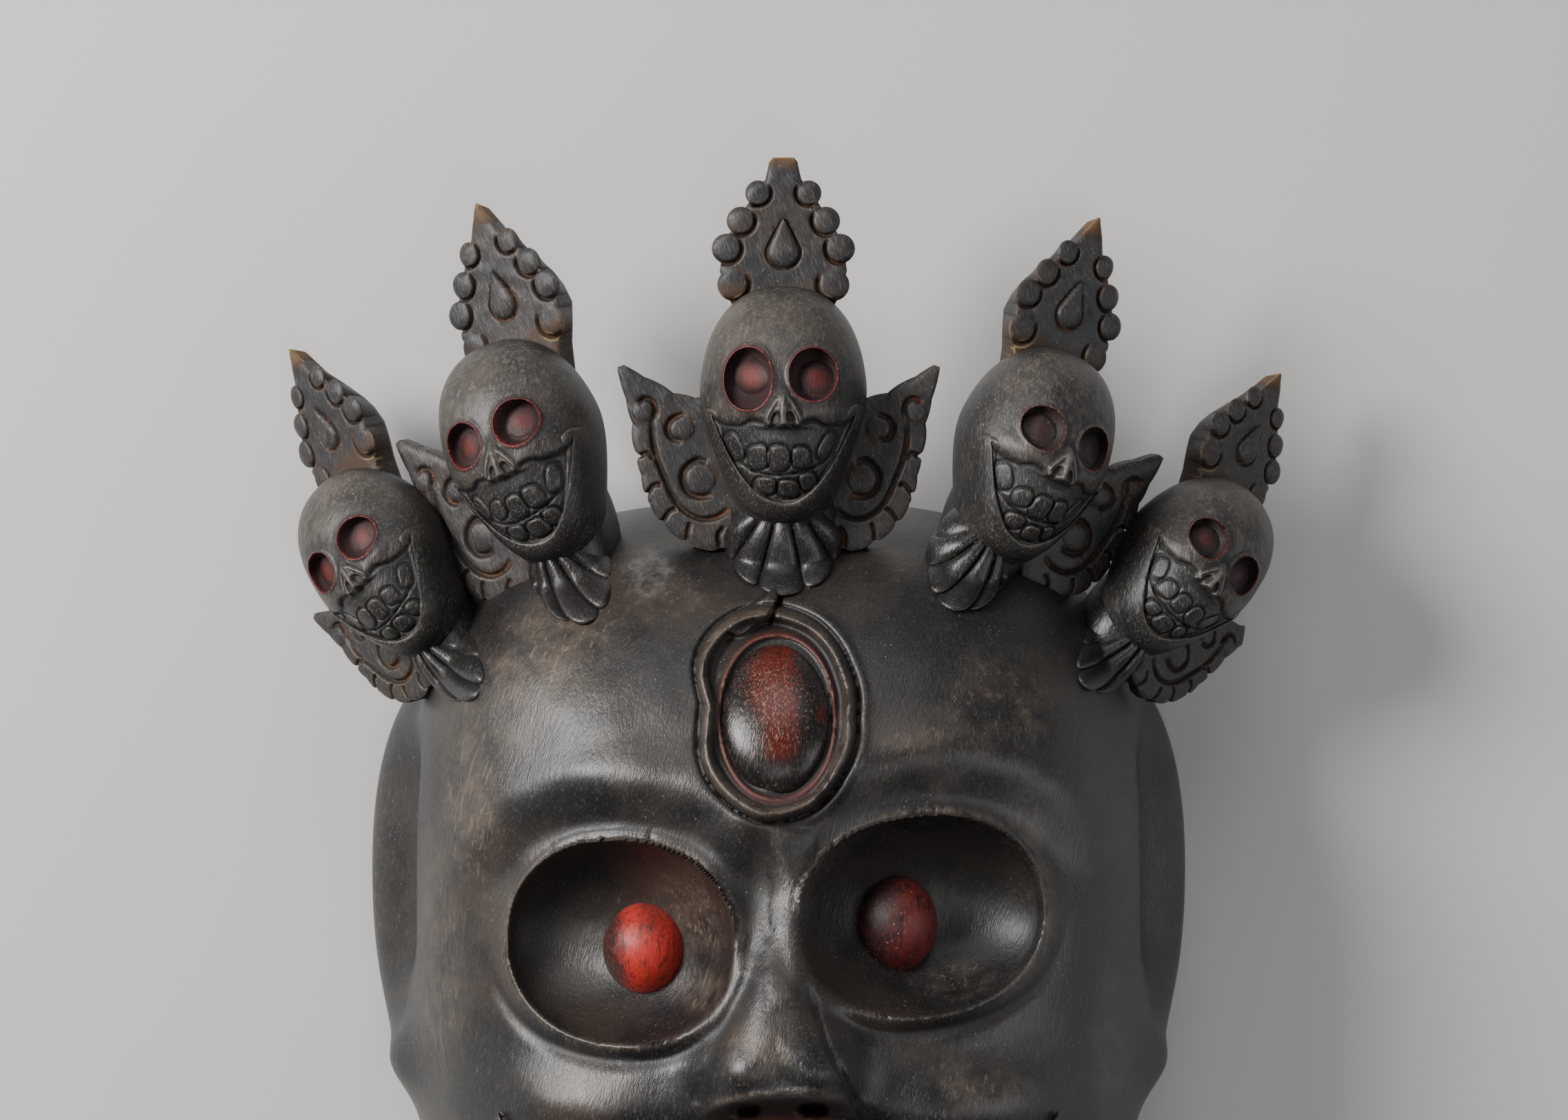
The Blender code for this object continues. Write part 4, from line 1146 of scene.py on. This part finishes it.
def painted_ball(name, colour, dark, scratch, rough):
    """Red paint over dark wood, worn through in streaks, with pale scratches where it is rubbed."""
    material = bpy.data.materials.new(name)
    material.use_nodes = True
    tree = material.node_tree
    shader = tree.nodes["Principled BSDF"]
    strokes = group(tree, STROKES, Size=2200.0, Slant=0.1, Cover=0.5)
    dust = group(tree, DUST, Specks=0.19, Clouds=90.0)
    paint, shade, rubs, bloom = worn_coats(tree)
    uneven = times(tree, minus(tree, dust["Blotches"], 0.5), 0.7)
    uneven = minus(tree, uneven, times(tree, strokes["Coarse"], 0.45))
    left = band(tree, plus(tree, paint, uneven), 0.2, 1.0)
    base = blend(tree, left, dark, colour)
    base = laid(tree, base, strokes["Coarse"], 0.5, dark)
    base = laid(tree, base, shade, 0.75, dark)
    rubbed = plus(tree, times(tree, rubs, 0.6), 0.16)
    base = laid(tree, base, strokes["Fine"], rubbed, scratch)
    specks = plus(tree, times(tree, bloom, 0.6), 0.35)
    base = laid(tree, base, dust["Specks"], specks, BALL_DUST)
    tree.links.new(base, shader.inputs["Base Color"])
    gloss = plus(tree, times(tree, dust["Blotches"], 0.25), rough)
    tree.links.new(gloss, shader.inputs["Roughness"])
    bumps = put(tree, "Bump", {"Height": strokes["Height"], "Strength": 0.45, "Distance": 0.00025})
    tree.links.new(bumps.outputs[0], shader.inputs["Normal"])
    return material


VERMILION = painted_ball(
    "worn_vermilion", rgb(0.46, 0.024, 0.015), rgb(0.035, 0.010, 0.009), rgb(0.52, 0.22, 0.16), 0.36)
DULL_RED = painted_ball(
    "dull_vermilion", rgb(0.15, 0.014, 0.012), rgb(0.018, 0.006, 0.006), rgb(0.30, 0.14, 0.11), 0.40)
LACQUER = painted_ball(
    "third_eye_lacquer", rgb(0.085, 0.009, 0.006), rgb(0.0085, 0.0075, 0.008), rgb(0.30, 0.19, 0.13), 0.15)


# Pieces

def make_face():
    """The face shell, the two eyeballs in their bowls and the third eye's ball."""
    carve("face", skin(FACE_RINGS, face_front, face_hollow, HOLLOW_RINGS), FACE_TRIANGLES, WOOD)
    kinds = ("left_eye", left_cover, VERMILION), ("right_eye", right_cover, DULL_RED)
    for (_, _, _, spot, half), (name, cover, material) in zip(EYES, kinds):
        level = float(dome_height(*np.array(spot))) - EYE_DEPTH
        carve(name, ball(spot, half, lambda x, y: level, cover), BALL_TRIANGLES, material)
    middle, half, sunk = THIRD_BALL
    form = ball(middle, half, lambda x, y: dome_height(x, y) - sunk, third_cover)
    carve("third_eye", form, BALL_TRIANGLES, LACQUER)


def placed(number, turns, shift=0.0, wide=1.0, tall=1.0):
    """Where a carving of a small skull stands, at the skull's size."""
    (px, py, pz), size = SKULLS[number][0], SKULLS[number][2]
    place = Matrix.Translation((px + shift, py, pz))
    for angle, axis in zip(turns, "YZX"):
        place = place @ Matrix.Rotation(math.radians(angle), 4, axis)
    return np.array(place @ Matrix.Diagonal((wide * size, tall * size, size, 1)))


def make_crown():
    stem_form = stem()
    for number, (_, turns, _, _, _) in enumerate(SKULLS):
        place, title = placed(number, turns), number + 1
        carve(f"skull_{title}", small_skull(number), SKULL_TRIANGLES, SKULL_WOOD, place)
        carve(f"collar_{title}", collar(place, *COLLARS[number]), COLLAR_TRIANGLES, PETAL_WOOD, rooted=True)
        carve(f"stem_{title}", stem_form, STEM_TRIANGLES, PETAL_WOOD, place, rooted=True)
    blunt, sharp = plate(BLUNT_TIP), plate(SHARP_TIP)
    for number, (turns, (wide, tall), shift) in enumerate(PLATES):
        form = blunt if number == MIDDLE_SKULL else sharp
        place = placed(number, turns, shift, wide, tall)
        carve(f"flame_plate_{number + 1}", form, PLATE_TRIANGLES, PLATE_WOOD, place)
    whole, broken = wing(WING_TIP), wing(BROKEN_TIP)
    for number, side, turns, (wide, tall) in WINGS:
        name = f"wing_{number + 1}_{'left' if side < 0 else 'right'}"
        form = broken if number == BROKEN_WING else whole
        carve(name, form, WING_TRIANGLES, PLATE_WOOD, placed(number, turns, 0, side * wide, tall))


# Setting

# Floor and camera, in metres; the sensor and the lens in millimetres
FLOOR_HALF, FLOOR_DROP = 3.0, 0.0003
CAMERA_PLACE, SENSOR_WIDTH, LENS = (0.000584, 0.07725, 2.070), 36.0, 158.3
# Lights, in metres and watts: place, aim, size, power, colour
LIGHTS = {
    "key": ((-0.98, 0.50, 0.95), (0, 0, 0.08), 0.6, 30, (1.0, 0.97, 0.94)),
    "side": ((1.15, -0.1, 0.75), (0, 0, 0.05), 0.7, 3.5, (0.93, 0.96, 1.0)),
    "top": ((0.1, 1.3, 1.1), (0, 0.1, 0.05), 0.9, 5, (1.0, 1.0, 1.0)),
    "front": ((0.15, -0.25, 1.9), (0, 0, 0.05), 0.35, 3, (1.0, 0.98, 0.96)),
}
WORLD_COLOUR, WORLD_STRENGTH = rgb(0.9, 0.93, 1.0), 0.13


def make_floor():
    mesh = bpy.data.meshes.new("floor")
    corners = [(a * FLOOR_HALF, b * FLOOR_HALF, 0) for a, b in ((-1, -1), (1, -1), (1, 1), (-1, 1))]
    mesh.from_pydata(corners, [], [(0, 1, 2, 3)])
    material = bpy.data.materials.new("pale_floor")
    material.use_nodes = True
    shader = material.node_tree.nodes["Principled BSDF"]
    shader.inputs["Base Color"].default_value = rgb(0.62, 0.62, 0.61)
    shader.inputs["Roughness"].default_value = 0.9
    mesh.materials.append(material)
    floor = bpy.data.objects.new("floor", mesh)
    floor.location.z = -FLOOR_DROP
    bpy.context.scene.collection.objects.link(floor)


def make_light(name, place, aim, size, power, colour):
    data = bpy.data.lights.new(name, "AREA")
    data.shape = "DISK"
    data.size, data.energy, data.color = size, power, colour
    light = bpy.data.objects.new(name, data)
    light.location = place
    light.rotation_euler = (Vector(aim) - Vector(place)).to_track_quat("-Z", "Y").to_euler()
    bpy.context.scene.collection.objects.link(light)


def make_camera():
    """Looks straight down on the mask as it lies; 0.2 mm to a photo pixel at mid height."""
    camera = bpy.data.objects.new("camera", bpy.data.cameras.new("camera"))
    camera.location = CAMERA_PLACE
    camera.data.sensor_width = SENSOR_WIDTH
    camera.data.lens = LENS
    bpy.context.scene.collection.objects.link(camera)
    bpy.context.scene.camera = camera


def make_world():
    """A weak, slightly cool light from all around."""
    world = bpy.data.worlds.new("studio")
    world.use_nodes = True
    inputs = world.node_tree.nodes["Background"].inputs
    inputs["Color"].default_value, inputs["Strength"].default_value = WORLD_COLOUR, WORLD_STRENGTH
    bpy.context.scene.world = world


make_face()
make_crown()
make_floor()
for title, row in LIGHTS.items():
    make_light(title, *row)
make_world()
make_camera()
